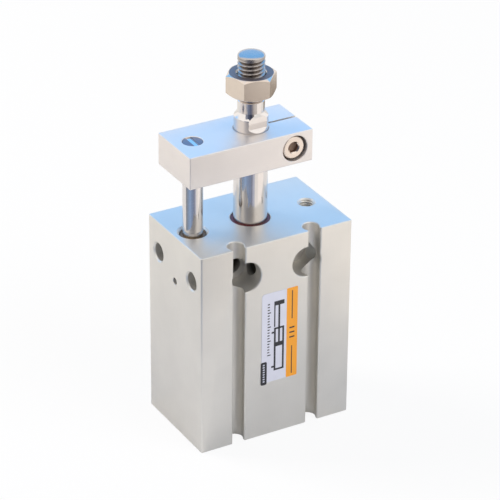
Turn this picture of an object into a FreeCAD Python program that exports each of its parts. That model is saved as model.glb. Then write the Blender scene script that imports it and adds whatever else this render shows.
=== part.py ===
"""Guided pneumatic cylinder: bore 25, stroke 25, with a second rod that keeps the plate from turning.

Millimetres, +Z along the rods. The origin is the centre of the body's head-end face, so the body
stands on z = 0 with its wide mounting face towards -Y, its narrow vented face towards -X and its
air ports towards +Y. What moves is modelled with the rod drawn in and lifted by Size.extension.
"""
import FreeCAD, Part
import os
import Sketcher

PARTS_FOLDER = "parts"

# --------------------------------------------------------------------------------- driving sizes

SIZES = {
    "body": {
        "body_width": 50,
        "body_depth": 32,
        "body_base": 40,
        "stroke": 25,
        "extension": 16,
        "corner_radius": 0.8,
        "edge_break": 0.3,
    },
    "sensor grooves": {
        "groove_offset": 12.5,
        "groove_mouth": 4,
        "groove_cavity": 5,
        "groove_lip": 0.95,
        "groove_bevel": 0.25,
    },
    "mounting holes": {
        "mount_pitch": 20,
        "mount_drop": 10,
        "mount_hole": 5.5,
        "screw_pocket": 9.5,
        "screw_pocket_depth": 9,
    },
    "cylinder bore, from the head end up": {
        "bore": 25,
        "cover_seat": 26,
        "cover_shoulder": 7.5,
        "ring_groove": 27.2,
        "ring_groove_start": 0.9,
        "ring_groove_width": 1.3,
        "rod_cover_length": 16,
    },
    "piston rod, its bush and its seal": {
        "rod": 10,
        "rod_bush_outer": 12,
        "rod_bush_length": 10,
        "rod_mouth": 11.8,
        "rod_mouth_bevel": 0.2,
        "seal_groove": 14,
        "seal_groove_drop": 1.7,
        "seal_groove_length": 2.8,
        "seal_lip": 0.35,
        "wiper_drop": 0.45,
    },
    "guide rod, its bush and its bore": {
        "guide_offset": 19,
        "guide_rod": 6,
        "guide_rod_length": 62,
        "guide_bush_outer": 8,
        "guide_bush_length": 12,
        "guide_bush_recess": 1,
        "guide_mouth_bevel": 0.6,
        "guide_bore": 7,
        "guide_bore_floor": 14,
        "vent": 2.2,
        "vent_drop": 14.8,
    },
    "M5 tapped holes and ports": {
        "tap_drill": 4.2,
        "tap_drill_depth": 10,
        "tap_mouth": 5.4,
        "port_depth": 4.6,
        "port_face": 8,
        "port_face_depth": 0.4,
        "rod_port_drop": 15.5,
        "head_port_height": 9.6,
    },
    "head cover and retaining ring": {
        "cover_outer_face": 2.2,
        "cover_inner_face": 8.5,
        "cover_spigot": 22,
        "cover_seal_height": 4.9,
        "cover_seal_section": 1.5,
        "ring_thickness": 1.2,
        "ring_width": 2.1,
        "ring_opening": 52,
        "ring_lug": 4.4,
        "ring_lug_hole": 2,
    },
    "bumpers": {
        "bumper_outer": 18,
        "bumper_inner": 13.2,
        "bumper_thickness": 2,
    },
    "piston": {
        "piston_outer": 24.7,
        "piston_length": 11.5,
        "piston_edge": 0.5,
        "piston_seal_width": 2.6,
        "piston_seal_depth": 2.6,
        "piston_seal_inset": 1,
        "wear_ring_width": 2.2,
        "wear_ring_depth": 1.1,
        "wear_ring_cut": 0.6,
        "spigot": 6,
        "spigot_seat": 2.2,
        "spigot_seal_section": 1,
        "spigot_tip_bevel": 0.6,
        "piston_nut_flats": 10,
        "piston_nut_height": 3.2,
        "piston_nut_pocket": 12.4,
        "piston_nut_pocket_depth": 3.6,
    },
    "rod end": {
        "rod_shoulder_rise": 3.7,
        "rod_cone_rise": 1.7,
        "rod_flats": 8,
        "rod_flats_rise": 0.8,
        "rod_thread": 8,
        "rod_thread_length": 18,
        "rod_relief": 0.6,
        "rod_tip_bevel": 0.85,
        "nut_flats": 13,
        "nut_height": 6.5,
        "nut_rise": 10.9,
        "nut_turn": 15,
        "nut_bevel_angle": 30,
        "nut_drill": 6.8,
    },
    "guide plate and clamp screw": {
        "plate_gap": 3,
        "plate_near_end": 25,
        "plate_far_end": 15,
        "plate_width": 19,
        "plate_thickness": 10,
        "plate_edge": 0.35,
        "plate_slit": 0.8,
        "clamp_offset": 9.2,
        "clamp_thread": 4,
        "clamp_thread_length": 14,
        "clamp_clearance": 4.5,
        "clamp_head": 7,
        "clamp_head_height": 4,
        "clamp_head_sink": 0.5,
        "clamp_pocket": 8,
        "clamp_key": 3,
        "clamp_key_depth": 2.2,
        "driver_slot": 1.2,
        "driver_slot_depth": 1.4,
    },
    "clearances": {
        "running_gap": 0.02,
        "seated_gap": 0.01,
        "seal_gap": 0.05,
    },
}

doc = FreeCAD.newDocument("guided_cylinder")
sheet = doc.addObject("Spreadsheet::Sheet", "Size")


def fill_sheet():
    """Write each group as a heading row, then one row per size: its name, its value and its alias."""
    row = 1
    for heading, sizes in SIZES.items():
        sheet.set(f"A{row}", heading)
        row += 1
        for alias, value in sizes.items():
            sheet.set(f"A{row}", alias)
            sheet.set(f"B{row}", str(value))
            sheet.setAlias(f"B{row}", alias)
            row += 1
    doc.recompute()


fill_sheet()

# ------------------------------------------------------ heights that several pieces share, as formulas

BODY_TOP = "(Size.body_base + Size.stroke)"
BORE_TOP = f"({BODY_TOP} - Size.rod_cover_length)"
MOUNT_HEIGHT = f"({BODY_TOP} - Size.mount_drop)"
SEAL_TOP = f"({BODY_TOP} - Size.seal_groove_drop)"
SEAL_BOTTOM = f"({SEAL_TOP} - Size.seal_groove_length)"
GUIDE_BUSH_TOP = f"({BODY_TOP} - Size.guide_bush_recess)"
GUIDE_BUSH_BOTTOM = f"({GUIDE_BUSH_TOP} - Size.guide_bush_length)"
PISTON_BOTTOM = "(Size.cover_inner_face + Size.bumper_thickness)"
PISTON_TOP = f"({PISTON_BOTTOM} + Size.piston_length)"
PLATE_BOTTOM = f"({BODY_TOP} + Size.plate_gap)"
PLATE_TOP = f"({PLATE_BOTTOM} + Size.plate_thickness)"
PLATE_MIDDLE = f"({PLATE_BOTTOM} + Size.plate_thickness / 2)"
SHOULDER = f"({PLATE_TOP} + Size.rod_shoulder_rise)"
THREAD_START = f"({SHOULDER} + Size.rod_cone_rise)"
ROD_TIP = f"({THREAD_START} + Size.rod_thread_length)"
PLATE_FRONT = "(Size.plate_width / 2)"
NUT_BOTTOM = f"({PLATE_TOP} + Size.nut_rise)"
NUT_TOP = f"({NUT_BOTTOM} + Size.nut_height)"
SPIGOT_SEAT = f"({PISTON_TOP} - Size.spigot_seat)"
COVER_SEAL_FLOOR = "(Size.cover_seat / 2 - Size.running_gap - Size.cover_seal_section * 0.9)"

# --------------------------------------------------------------------------- sketch and feature helpers


def value_of(expression):
    """The number that an expression on the sheet comes to now."""
    found = sheet.evalExpression(expression)
    return float(getattr(found, "Value", found))


def new_body(label):
    body = doc.addObject("PartDesign::Body", label)
    body.Label = label
    return body


def origin_plane(body, role):
    return next(feature for feature in body.Origin.OriginFeatures if feature.Role == role)


def new_sketch(body, name, role, shift=None, lift=None):
    """A sketch on one of the body's origin planes, moved along its own X by shift and along its normal by lift."""
    sketch = body.newObject("Sketcher::SketchObject", name)
    sketch.AttachmentSupport = [(origin_plane(body, role), "")]
    sketch.MapMode = "FlatFace"
    if shift:
        sketch.setExpression("AttachmentOffset.Base.x", shift)
    if lift:
        sketch.setExpression("AttachmentOffset.Base.z", lift)
    return sketch


def bind(sketch, constraint, expression):
    index = sketch.addConstraint(constraint)
    sketch.setExpression(f"Constraints[{index}]", expression)


def place_point(sketch, geometry, vertex, across, up):
    """Tie one vertex to the sketch's origin by two expressions; '0' puts it on the axis itself."""
    origin = (-1, 1)
    if across == "0":
        sketch.addConstraint(Sketcher.Constraint("PointOnObject", geometry, vertex, -2))
    else:
        distance = Sketcher.Constraint("DistanceX", *origin, geometry, vertex, value_of(across))
        bind(sketch, distance, across)
    if up == "0":
        sketch.addConstraint(Sketcher.Constraint("PointOnObject", geometry, vertex, -1))
    else:
        distance = Sketcher.Constraint("DistanceY", *origin, geometry, vertex, value_of(up))
        bind(sketch, distance, up)


def add_outline(sketch, corners):
    """A closed outline of straight lines through corners, each an (across, up) pair of expressions."""
    spots = [FreeCAD.Vector(value_of(across), value_of(up), 0) for across, up in corners]
    lines = []
    for start, end in zip(spots, spots[1:] + spots[:1]):
        lines.append(sketch.addGeometry(Part.LineSegment(start, end), False))
    for line, following in zip(lines, lines[1:] + lines[:1]):
        sketch.addConstraint(Sketcher.Constraint("Coincident", line, 2, following, 1))
    for line, (across, up) in zip(lines, corners):
        place_point(sketch, line, 1, across, up)


def add_circle(sketch, across, up, diameter):
    centre = FreeCAD.Vector(value_of(across), value_of(up), 0)
    normal = FreeCAD.Vector(0, 0, 1)
    circle = sketch.addGeometry(Part.Circle(centre, normal, value_of(diameter) / 2), False)
    place_point(sketch, circle, 3, across, up)
    bind(sketch, Sketcher.Constraint("Radius", circle, value_of(diameter) / 2), f"({diameter}) / 2")


def turn(body, name, corners, shift=None):
    """Revolve an outline of (radius, height) pairs about the vertical line at shift along X."""
    sketch = new_sketch(body, f"{name}_section", "XZ_Plane", shift)
    add_outline(sketch, corners)
    feature = body.newObject("PartDesign::Revolution", name)
    return finish_turning(feature, sketch)


def turn_out(body, name, corners, shift=None):
    """As turn, but the revolved shape is taken away."""
    before = body.Shape.Volume
    sketch = new_sketch(body, f"{name}_section", "XZ_Plane", shift)
    add_outline(sketch, corners)
    feature = body.newObject("PartDesign::Groove", name)
    finish_turning(feature, sketch)
    confirm_cut(body, feature, before)
    return feature


def finish_turning(feature, sketch):
    feature.Profile = sketch
    feature.ReferenceAxis = (sketch, ["V_Axis"])
    feature.Angle = 360
    sketch.Visibility = False
    doc.recompute()
    return feature


def confirm_cut(body, feature, volume_before):
    if not body.Shape.Volume < volume_before - 1e-3:
        raise RuntimeError(f"{body.Label}: {feature.Name} cut nothing")


def pad(body, name, sketch, length, backwards=False):
    feature = body.newObject("PartDesign::Pad", name)
    feature.Profile = sketch
    feature.Reversed = backwards
    feature.setExpression("Length", length)
    sketch.Visibility = False
    doc.recompute()
    return feature


def pocket(body, name, sketch, depth=None, backwards=False):
    """Cut a sketch away against its normal (along it if backwards), to a depth or right through both ways."""
    before = body.Shape.Volume
    feature = body.newObject("PartDesign::Pocket", name)
    feature.Profile = sketch
    feature.Reversed = backwards
    if depth:
        feature.setExpression("Length", depth)
    else:
        feature.Type = "ThroughAll"
        feature.Midplane = True
    sketch.Visibility = False
    doc.recompute()
    confirm_cut(body, feature, before)
    return feature


def drill(body, name, sketch, diameter, depth=None, backwards=False):
    """A plain drilled hole at each circle of the sketch: blind with a drill's point, or right through."""
    before = body.Shape.Volume
    doc.recompute()
    feature = body.newObject("PartDesign::Hole", name)
    feature.Profile = sketch
    feature.Reversed = backwards
    feature.setExpression("Diameter", diameter)
    if depth:
        feature.DepthType = "Dimension"
        feature.setExpression("Depth", depth)
        feature.DrillPoint = "Angled"
        feature.DrillForDepth = False
    else:
        feature.DepthType = "ThroughAll"
    sketch.Visibility = False
    doc.recompute()
    confirm_cut(body, feature, before)
    return feature


def widen_mouth(feature, kind, diameter, depth=None):
    """Give a drilled hole a Counterbore of a depth, or a 90 degree Countersink."""
    feature.HoleCutType = kind
    feature.HoleCutCustomValues = True
    feature.setExpression("HoleCutDiameter", diameter)
    if depth:
        feature.setExpression("HoleCutDepth", depth)
    else:
        feature.HoleCutCountersinkAngle = 90
    doc.recompute()


def edge_names(shape, wanted):
    return [f"Edge{index}" for index, edge in enumerate(shape.Edges, 1) if wanted(edge)]


def dress(body, kind, name, base, wanted, size):
    """A Fillet (Radius) or Chamfer (Size) on the edges of base that wanted picks."""
    names = edge_names(base.Shape, wanted)
    if not names:
        raise RuntimeError(f"{body.Label}: {name} found no edge")
    feature = body.newObject(f"PartDesign::{kind}", name)
    feature.Base = (base, names)
    feature.setExpression("Radius" if kind == "Fillet" else "Size", size)
    doc.recompute()
    return feature


def is_upright(edge):
    first, last = edge.Vertexes[0].Point, edge.Vertexes[-1].Point
    straight = edge.Curve.TypeId == "Part::GeomLine"
    return straight and abs(first.x - last.x) < 1e-6 and abs(first.y - last.y) < 1e-6 and first != last


def is_side_hole_mouth(edge):
    """True for a mounting hole's rim on either narrow side of the body."""
    box = edge.BoundBox
    on_side = box.XLength < 1e-6 and abs(abs(box.Center.x) - value_of("Size.body_width / 2")) < 1e-6
    return on_side and abs(box.YLength - value_of("Size.mount_hole")) < 1e-3


def lies_at_any(heights):
    """A test for an edge that lies wholly in the level plane at one of these heights."""

    def wanted(edge):
        box = edge.BoundBox
        return any(abs(box.ZMin - height) < 1e-6 and abs(box.ZMax - height) < 1e-6 for height in heights)

    return wanted


def hexagon(flats, turned="0"):
    """The corners of a hexagon by its width across flats, its flats' normals turned from X."""
    radius = f"{flats} / sqrt(3)"
    angles = [f"({turned} + {30 + 60 * corner})" for corner in range(6)]
    return [(f"{radius} * cos({angle})", f"{radius} * sin({angle})") for angle in angles]


def bevel_hexagon(body, flats, bottom, top):
    """Turn off the corners of a hexagonal prism at both ends, as on a nut."""
    flat_radius = f"({flats} / 2)"
    beyond_corner = f"({flats} / sqrt(3) + Size.edge_break)"
    drop = f"(({beyond_corner} - {flat_radius}) * tan(Size.nut_bevel_angle))"
    for name, level, sign in (("bevel_above", top, "-"), ("bevel_below", bottom, "+")):
        corners = [(flat_radius, level), (beyond_corner, level), (beyond_corner, f"{level} {sign} {drop}")]
        turn_out(body, name, corners)


def lift_with_rod(body):
    """What moves with the rod stands this far out when at rest."""
    body.setExpression("Placement.Base.z", "Size.extension")


# -------------------------------------------------------------------------------------- the body


def make_cylinder_body():
    """The extruded and machined aluminium block that is tube, rod cover and guide housing in one."""
    body = new_body("cylinder_body")
    pad_block(body)
    cut_sensor_grooves(body)
    cut_cylinder_bore(body)
    cut_guide_bore(body)
    drill_mounting_holes(body)
    drill_tapped_holes(body)
    drill_ports_and_vent(body)


def pad_block(body):
    """The block itself: round corners along its length and a small chamfer round each end."""
    sketch = new_sketch(body, "block_outline", "XY_Plane")
    across = "Size.body_width / 2"
    up = "Size.body_depth / 2"
    add_outline(sketch, [(f"-{across}", f"-{up}"), (across, f"-{up}"), (across, up), (f"-{across}", up)])
    block = pad(body, "block", sketch, BODY_TOP)
    rounded = dress(body, "Fillet", "long_corners", block, is_upright, "Size.corner_radius")
    levels = (0, value_of(BODY_TOP))
    dress(body, "Chamfer", "end_edges", rounded, lies_at_any(levels), "Size.edge_break")


def cut_sensor_grooves(body):
    """Two grooves along the front face: a bevelled mouth between two lips and a round cavity behind them."""
    front = "(Size.body_depth / 2)"
    half_mouth = "(Size.groove_mouth / 2)"
    radius = "(Size.groove_cavity / 2)"
    centre_up = f"(-{front} + Size.groove_lip + sqrt({radius} * {radius} - {half_mouth} * {half_mouth}))"
    left = f"(Size.groove_offset - {half_mouth})"
    right = f"(Size.groove_offset + {half_mouth})"
    mouth = new_sketch(body, "mouth_outline", "XY_Plane")
    add_outline(
        mouth,
        [
            (f"{left} - Size.groove_bevel", f"-{front}"),
            (f"{right} + Size.groove_bevel", f"-{front}"),
            (right, f"-{front} + Size.groove_bevel"),
            (right, centre_up),
            (left, centre_up),
            (left, f"-{front} + Size.groove_bevel"),
        ],
    )
    cavity = new_sketch(body, "cavity_outline", "XY_Plane")
    add_circle(cavity, "Size.groove_offset", centre_up, "Size.groove_cavity")
    right_groove = [pocket(body, "right_mouth", mouth), pocket(body, "right_cavity", cavity)]
    before = body.Shape.Volume
    mirrored = body.newObject("PartDesign::Mirrored", "both_grooves")
    mirrored.Originals = right_groove
    mirrored.MirrorPlane = (origin_plane(body, "YZ_Plane"), [""])
    body.Tip = mirrored
    doc.recompute()
    confirm_cut(body, mirrored, before)


def cut_cylinder_bore(body):
    """Everything turned on the main axis: cover seat, ring groove, bore, bush seat, seal groove, mouth."""
    seat = "Size.cover_seat / 2"
    ring_top = "Size.ring_groove_start + Size.ring_groove_width"
    bush = "Size.rod_bush_outer / 2"
    mouth = "Size.rod_mouth / 2"
    turn_out(
        body,
        "cylinder_bore",
        [
            ("0", "0"),
            (f"{seat} + Size.edge_break", "0"),
            (seat, "Size.edge_break"),
            (seat, "Size.ring_groove_start"),
            ("Size.ring_groove / 2", "Size.ring_groove_start"),
            ("Size.ring_groove / 2", ring_top),
            (seat, ring_top),
            (seat, "Size.cover_shoulder"),
            ("Size.bore / 2", "Size.cover_shoulder"),
            ("Size.bore / 2", BORE_TOP),
            (bush, BORE_TOP),
            (bush, SEAL_BOTTOM),
            ("Size.seal_groove / 2", SEAL_BOTTOM),
            ("Size.seal_groove / 2", SEAL_TOP),
            (mouth, SEAL_TOP),
            (mouth, f"{BODY_TOP} - Size.rod_mouth_bevel"),
            (f"{mouth} + Size.rod_mouth_bevel", BODY_TOP),
            ("0", BODY_TOP),
        ],
    )


def cut_guide_bore(body):
    """The blind bore beside the cylinder in which the guide rod runs, stepped for its bush."""
    radius = "Size.guide_bore / 2"
    seat = "Size.guide_bush_outer / 2"
    turn_out(
        body,
        "guide_bore",
        [
            ("0", "Size.guide_bore_floor"),
            (radius, "Size.guide_bore_floor"),
            (radius, GUIDE_BUSH_BOTTOM),
            (seat, GUIDE_BUSH_BOTTOM),
            (seat, f"{BODY_TOP} - Size.guide_mouth_bevel"),
            (f"{seat} + Size.guide_mouth_bevel", BODY_TOP),
            ("0", BODY_TOP),
        ],
        shift="-Size.guide_offset",
    )


def drill_mounting_holes(body):
    """Two holes through each way: from the wide front face with screw pockets, and from the narrow side."""
    half_pitch = "Size.mount_pitch / 2"
    side = new_sketch(body, "side_hole_centres", "YZ_Plane", lift="Size.body_width / 2")
    for across in (f"-{half_pitch}", half_pitch):
        add_circle(side, across, MOUNT_HEIGHT, "Size.mount_hole")
    holes = drill(body, "side_mounting_holes", side, "Size.mount_hole")
    dress(body, "Chamfer", "side_hole_mouths", holes, is_side_hole_mouth, "Size.edge_break")
    front = new_sketch(body, "front_hole_centres", "XZ_Plane", lift="Size.body_depth / 2")
    for across in (f"-{half_pitch}", half_pitch):
        add_circle(front, across, MOUNT_HEIGHT, "Size.mount_hole")
    holes = drill(body, "front_mounting_holes", front, "Size.mount_hole")
    widen_mouth(holes, "Counterbore", "Size.screw_pocket", "Size.screw_pocket_depth")


def drill_tapped_holes(body):
    """One M5 hole beside the rod on the rod-end face and two on the head-end face."""
    top = new_sketch(body, "rod_end_tap_centre", "XY_Plane", lift=BODY_TOP)
    add_circle(top, "Size.guide_offset", "0", "Size.tap_drill")
    holes = drill(body, "rod_end_tap", top, "Size.tap_drill", "Size.tap_drill_depth")
    widen_mouth(holes, "Countersink", "Size.tap_mouth")
    bottom = new_sketch(body, "head_end_tap_centres", "XY_Plane")
    for across in ("-Size.guide_offset", "Size.guide_offset"):
        add_circle(bottom, across, "0", "Size.tap_drill")
    holes = drill(body, "head_end_taps", bottom, "Size.tap_drill", "Size.tap_drill_depth", backwards=True)
    widen_mouth(holes, "Countersink", "Size.tap_mouth")


def drill_ports_and_vent(body):
    """The two air ports on the back, each in a shallow faced spot, and the guide bore's vent."""
    heights = (f"{BODY_TOP} - Size.rod_port_drop", "Size.head_port_height")
    for name, size, depth in (
        ("port_faces", "Size.port_face", "Size.port_face_depth"),
        ("ports", "Size.tap_drill", "Size.port_depth"),
    ):
        sketch = new_sketch(body, f"{name}_centres", "XZ_Plane", lift="-Size.body_depth / 2")
        for height in heights:
            add_circle(sketch, "0", height, size)
        pocket(body, name, sketch, depth, backwards=True)
    side = new_sketch(body, "vent_centre", "YZ_Plane", lift="-Size.body_width / 2")
    add_circle(side, "0", f"{BODY_TOP} - Size.vent_drop", "Size.vent")
    pocket(body, "vent", side, "Size.body_width / 2 - Size.guide_offset", backwards=True)


# ------------------------------------------------------------------- what is fitted into the body


def make_sleeve(label, inner, outer, bottom, top, shift=None):
    """A plain round sleeve or ring, by its two diameters and two heights."""
    body = new_body(label)
    inner_radius = f"({inner} / 2)"
    outer_radius = f"({outer} / 2)"
    corners = [(inner_radius, bottom), (outer_radius, bottom), (outer_radius, top), (inner_radius, top)]
    turn(body, "sleeve", corners, shift)
    return body


def make_rod_bush():
    make_sleeve(
        "rod_bush",
        "(Size.rod + 2 * Size.running_gap)",
        "(Size.rod_bush_outer - 2 * Size.seated_gap)",
        f"({SEAL_BOTTOM} - Size.rod_bush_length)",
        SEAL_BOTTOM,
    )


def make_guide_bush():
    make_sleeve(
        "guide_bush",
        "(Size.guide_rod + 2 * Size.running_gap)",
        "(Size.guide_bush_outer - 2 * Size.seated_gap)",
        GUIDE_BUSH_BOTTOM,
        GUIDE_BUSH_TOP,
        shift="-Size.guide_offset",
    )


def make_rod_seal():
    """A lip seal in its groove, with a wiper lip that stands up round the rod inside the mouth."""
    body = new_body("rod_seal")
    inner = "(Size.rod / 2 + Size.seal_gap)"
    outer = "(Size.seal_groove / 2 - Size.seal_gap)"
    mouth = "(Size.rod_mouth / 2 - Size.seal_gap)"
    bottom = f"({SEAL_BOTTOM} + Size.seal_gap)"
    top = f"({SEAL_TOP} - Size.seal_gap)"
    notch = f"({bottom} + Size.seal_groove_length * 0.4)"
    turn(
        body,
        "lips",
        [
            (f"{inner} + Size.seal_lip", bottom),
            (f"({inner} + {outer}) / 2", notch),
            (f"{outer} - Size.seal_lip", bottom),
            (outer, bottom),
            (outer, top),
            (mouth, top),
            (mouth, f"{BODY_TOP} - Size.wiper_drop"),
            (inner, f"{BODY_TOP} - Size.wiper_drop"),
            (f"{inner} + Size.seal_lip", f"{SEAL_TOP} - Size.seal_groove_length / 2"),
            (inner, bottom),
        ],
    )


def make_bumper(label, bottom):
    """A flat urethane ring that takes the piston's knock at the end of its stroke."""
    make_sleeve(
        label,
        "Size.bumper_inner",
        "Size.bumper_outer",
        bottom,
        f"({bottom} + Size.bumper_thickness)",
    )


def make_head_cover():
    """The disc that closes the bore: seated on the shoulder, with a spigot inside and a seal groove."""
    body = new_body("head_cover")
    outer = "(Size.cover_seat / 2 - Size.running_gap)"
    spigot = "(Size.cover_spigot / 2)"
    half_groove = "(Size.cover_seal_section * 0.62)"
    turn(
        body,
        "disc",
        [
            ("0", "Size.cover_outer_face"),
            (outer, "Size.cover_outer_face"),
            (outer, f"Size.cover_seal_height - {half_groove}"),
            (COVER_SEAL_FLOOR, f"Size.cover_seal_height - {half_groove}"),
            (COVER_SEAL_FLOOR, f"Size.cover_seal_height + {half_groove}"),
            (outer, f"Size.cover_seal_height + {half_groove}"),
            (outer, "Size.cover_shoulder"),
            (spigot, "Size.cover_shoulder"),
            (spigot, "Size.cover_inner_face"),
            ("0", "Size.cover_inner_face"),
        ],
    )


def make_o_ring(label, inner_radius, bottom, section):
    """A rubber ring by its inner radius, lowest height and thickness; its round section has eight flats."""
    body = new_body(label)
    middle = f"({inner_radius} + {section} / 2)"
    height = f"({bottom} + {section} / 2)"
    corner = f"({section} / 2)"
    angles = [f"({22.5 + 45 * side})" for side in range(8)]
    corners = [(f"{middle} + {corner} * cos{angle}", f"{height} + {corner} * sin{angle}") for angle in angles]
    turn(body, "ring", corners)
    return body


def make_head_cover_o_ring():
    section = "(Size.cover_seal_section * 0.88)"
    inner_radius = f"({COVER_SEAL_FLOOR} + Size.seated_gap)"
    make_o_ring("head_cover_o_ring", inner_radius, f"(Size.cover_seal_height - {section} / 2)", section)


def make_snap_ring():
    """An inside retaining ring: an open flat ring with a lug and a plier hole at each end."""
    body = new_body("snap_ring")
    outer = "(Size.ring_groove / 2 - Size.seated_gap)"
    bottom = "(Size.ring_groove_start + Size.ring_groove_width - Size.ring_thickness)"
    sketch = new_sketch(body, "band_section", "XZ_Plane")
    inner = f"({outer} - Size.ring_width)"
    top = f"({bottom} + Size.ring_thickness)"
    add_outline(sketch, [(inner, bottom), (outer, bottom), (outer, top), (inner, top)])
    band = body.newObject("PartDesign::Revolution", "band")
    band.Profile = sketch
    band.ReferenceAxis = (sketch, ["V_Axis"])
    band.Midplane = True
    band.setExpression("Angle", "360 - Size.ring_opening")
    sketch.Visibility = False
    doc.recompute()
    lug_radius = "(Size.cover_seat / 2 - Size.ring_lug / 2 - Size.seated_gap)"
    lug_angle = "(180 - Size.ring_opening / 2)"
    for name, size, make in (("lugs", "Size.ring_lug", pad), ("plier_holes", "Size.ring_lug_hole", pocket)):
        sketch = new_sketch(body, f"{name}_outline", "XY_Plane", lift=bottom)
        for sign in ("", "-"):
            add_circle(sketch, f"{lug_radius} * cos{lug_angle}", f"{sign}{lug_radius} * sin{lug_angle}", size)
        if make is pad:
            pad(body, name, sketch, "Size.ring_thickness")
        else:
            pocket(body, name, sketch)


# ------------------------------------------------------------------------- what moves with the rod


def make_piston():
    """The piston: two seal grooves with a wear-ring groove between, a rod seat above, a nut pocket below."""
    body = new_body("piston")
    outer = "(Size.piston_outer / 2)"
    seal_floor = f"({outer} - Size.piston_seal_depth)"
    wear_floor = f"({outer} - Size.wear_ring_depth)"
    middle = f"({PISTON_BOTTOM} + Size.piston_length / 2)"
    low_seal = f"({PISTON_BOTTOM} + Size.piston_seal_inset)"
    high_seal = f"({PISTON_TOP} - Size.piston_seal_inset)"
    spigot = "(Size.spigot / 2 + Size.seated_gap)"
    seal = "(Size.spigot / 2 + Size.spigot_seal_section + Size.seal_gap)"
    seat = "(Size.rod / 2 + Size.seated_gap)"
    pocket_top = f"({PISTON_BOTTOM} + Size.piston_nut_pocket_depth)"
    turn(
        body,
        "piston_turning",
        [
            ("Size.piston_nut_pocket / 2", PISTON_BOTTOM),
            (f"{outer} - Size.piston_edge", PISTON_BOTTOM),
            (outer, f"{PISTON_BOTTOM} + Size.piston_edge"),
            (outer, low_seal),
            (seal_floor, low_seal),
            (seal_floor, f"{low_seal} + Size.piston_seal_width"),
            (outer, f"{low_seal} + Size.piston_seal_width"),
            (outer, f"{middle} - Size.wear_ring_width / 2"),
            (wear_floor, f"{middle} - Size.wear_ring_width / 2"),
            (wear_floor, f"{middle} + Size.wear_ring_width / 2"),
            (outer, f"{middle} + Size.wear_ring_width / 2"),
            (outer, f"{high_seal} - Size.piston_seal_width"),
            (seal_floor, f"{high_seal} - Size.piston_seal_width"),
            (seal_floor, high_seal),
            (outer, high_seal),
            (outer, f"{PISTON_TOP} - Size.piston_edge"),
            (f"{outer} - Size.piston_edge", PISTON_TOP),
            (seat, PISTON_TOP),
            (seat, SPIGOT_SEAT),
            (seal, SPIGOT_SEAT),
            (seal, f"{SPIGOT_SEAT} - Size.spigot_seal_section"),
            (spigot, f"{SPIGOT_SEAT} - Size.spigot_seal_section"),
            (spigot, pocket_top),
            ("Size.piston_nut_pocket / 2", pocket_top),
        ],
    )
    lift_with_rod(body)


def make_piston_seal(label, back, lips):
    """A lip seal; back and lips are the heights of its two ends, so the lips point from back to lips."""
    body = new_body(label)
    floor = "(Size.piston_outer / 2 - Size.piston_seal_depth + Size.seated_gap)"
    edge = "(Size.bore / 2 - Size.seal_gap)"
    notch = f"({lips} + ({back} - {lips}) * 0.5)"
    turn(
        body,
        "lips",
        [
            (floor, back),
            (f"{edge} - Size.seal_lip", back),
            (edge, lips),
            (f"{edge} - Size.seal_lip", lips),
            (f"({floor} + {edge}) / 2", notch),
            (f"{floor} + Size.seal_lip", lips),
            (floor, lips),
        ],
    )
    lift_with_rod(body)


def make_piston_seals():
    low = f"({PISTON_BOTTOM} + Size.piston_seal_inset)"
    high = f"({PISTON_TOP} - Size.piston_seal_inset)"
    slack = "Size.seal_gap"
    make_piston_seal(
        "head_side_piston_seal", f"({low} + Size.piston_seal_width - {slack})", f"({low} + {slack})"
    )
    make_piston_seal(
        "rod_side_piston_seal", f"({high} - Size.piston_seal_width + {slack})", f"({high} - {slack})"
    )


def make_wear_ring():
    """The guide band between the seals, cut once on the slant so that it can be sprung into its groove."""
    body = new_body("wear_ring")
    inner = "(Size.piston_outer / 2 - Size.wear_ring_depth + Size.seated_gap)"
    outer = "(Size.bore / 2 - Size.running_gap)"
    bottom = f"({PISTON_BOTTOM} + Size.piston_length / 2 - Size.wear_ring_width / 2 + Size.seated_gap)"
    top = f"({PISTON_BOTTOM} + Size.piston_length / 2 + Size.wear_ring_width / 2 - Size.seated_gap)"
    turn(body, "band", [(inner, bottom), (outer, bottom), (outer, top), (inner, top)])
    slant = "Size.wear_ring_width / 2"
    sketch = new_sketch(body, "cut_outline", "XZ_Plane")
    add_outline(
        sketch,
        [
            (f"-{slant} - Size.wear_ring_cut / 2", bottom),
            (f"-{slant} + Size.wear_ring_cut / 2", bottom),
            (f"{slant} + Size.wear_ring_cut / 2", top),
            (f"{slant} - Size.wear_ring_cut / 2", top),
        ],
    )
    pocket(body, "slanting_cut", sketch, "Size.bore", backwards=True)
    lift_with_rod(body)


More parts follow.
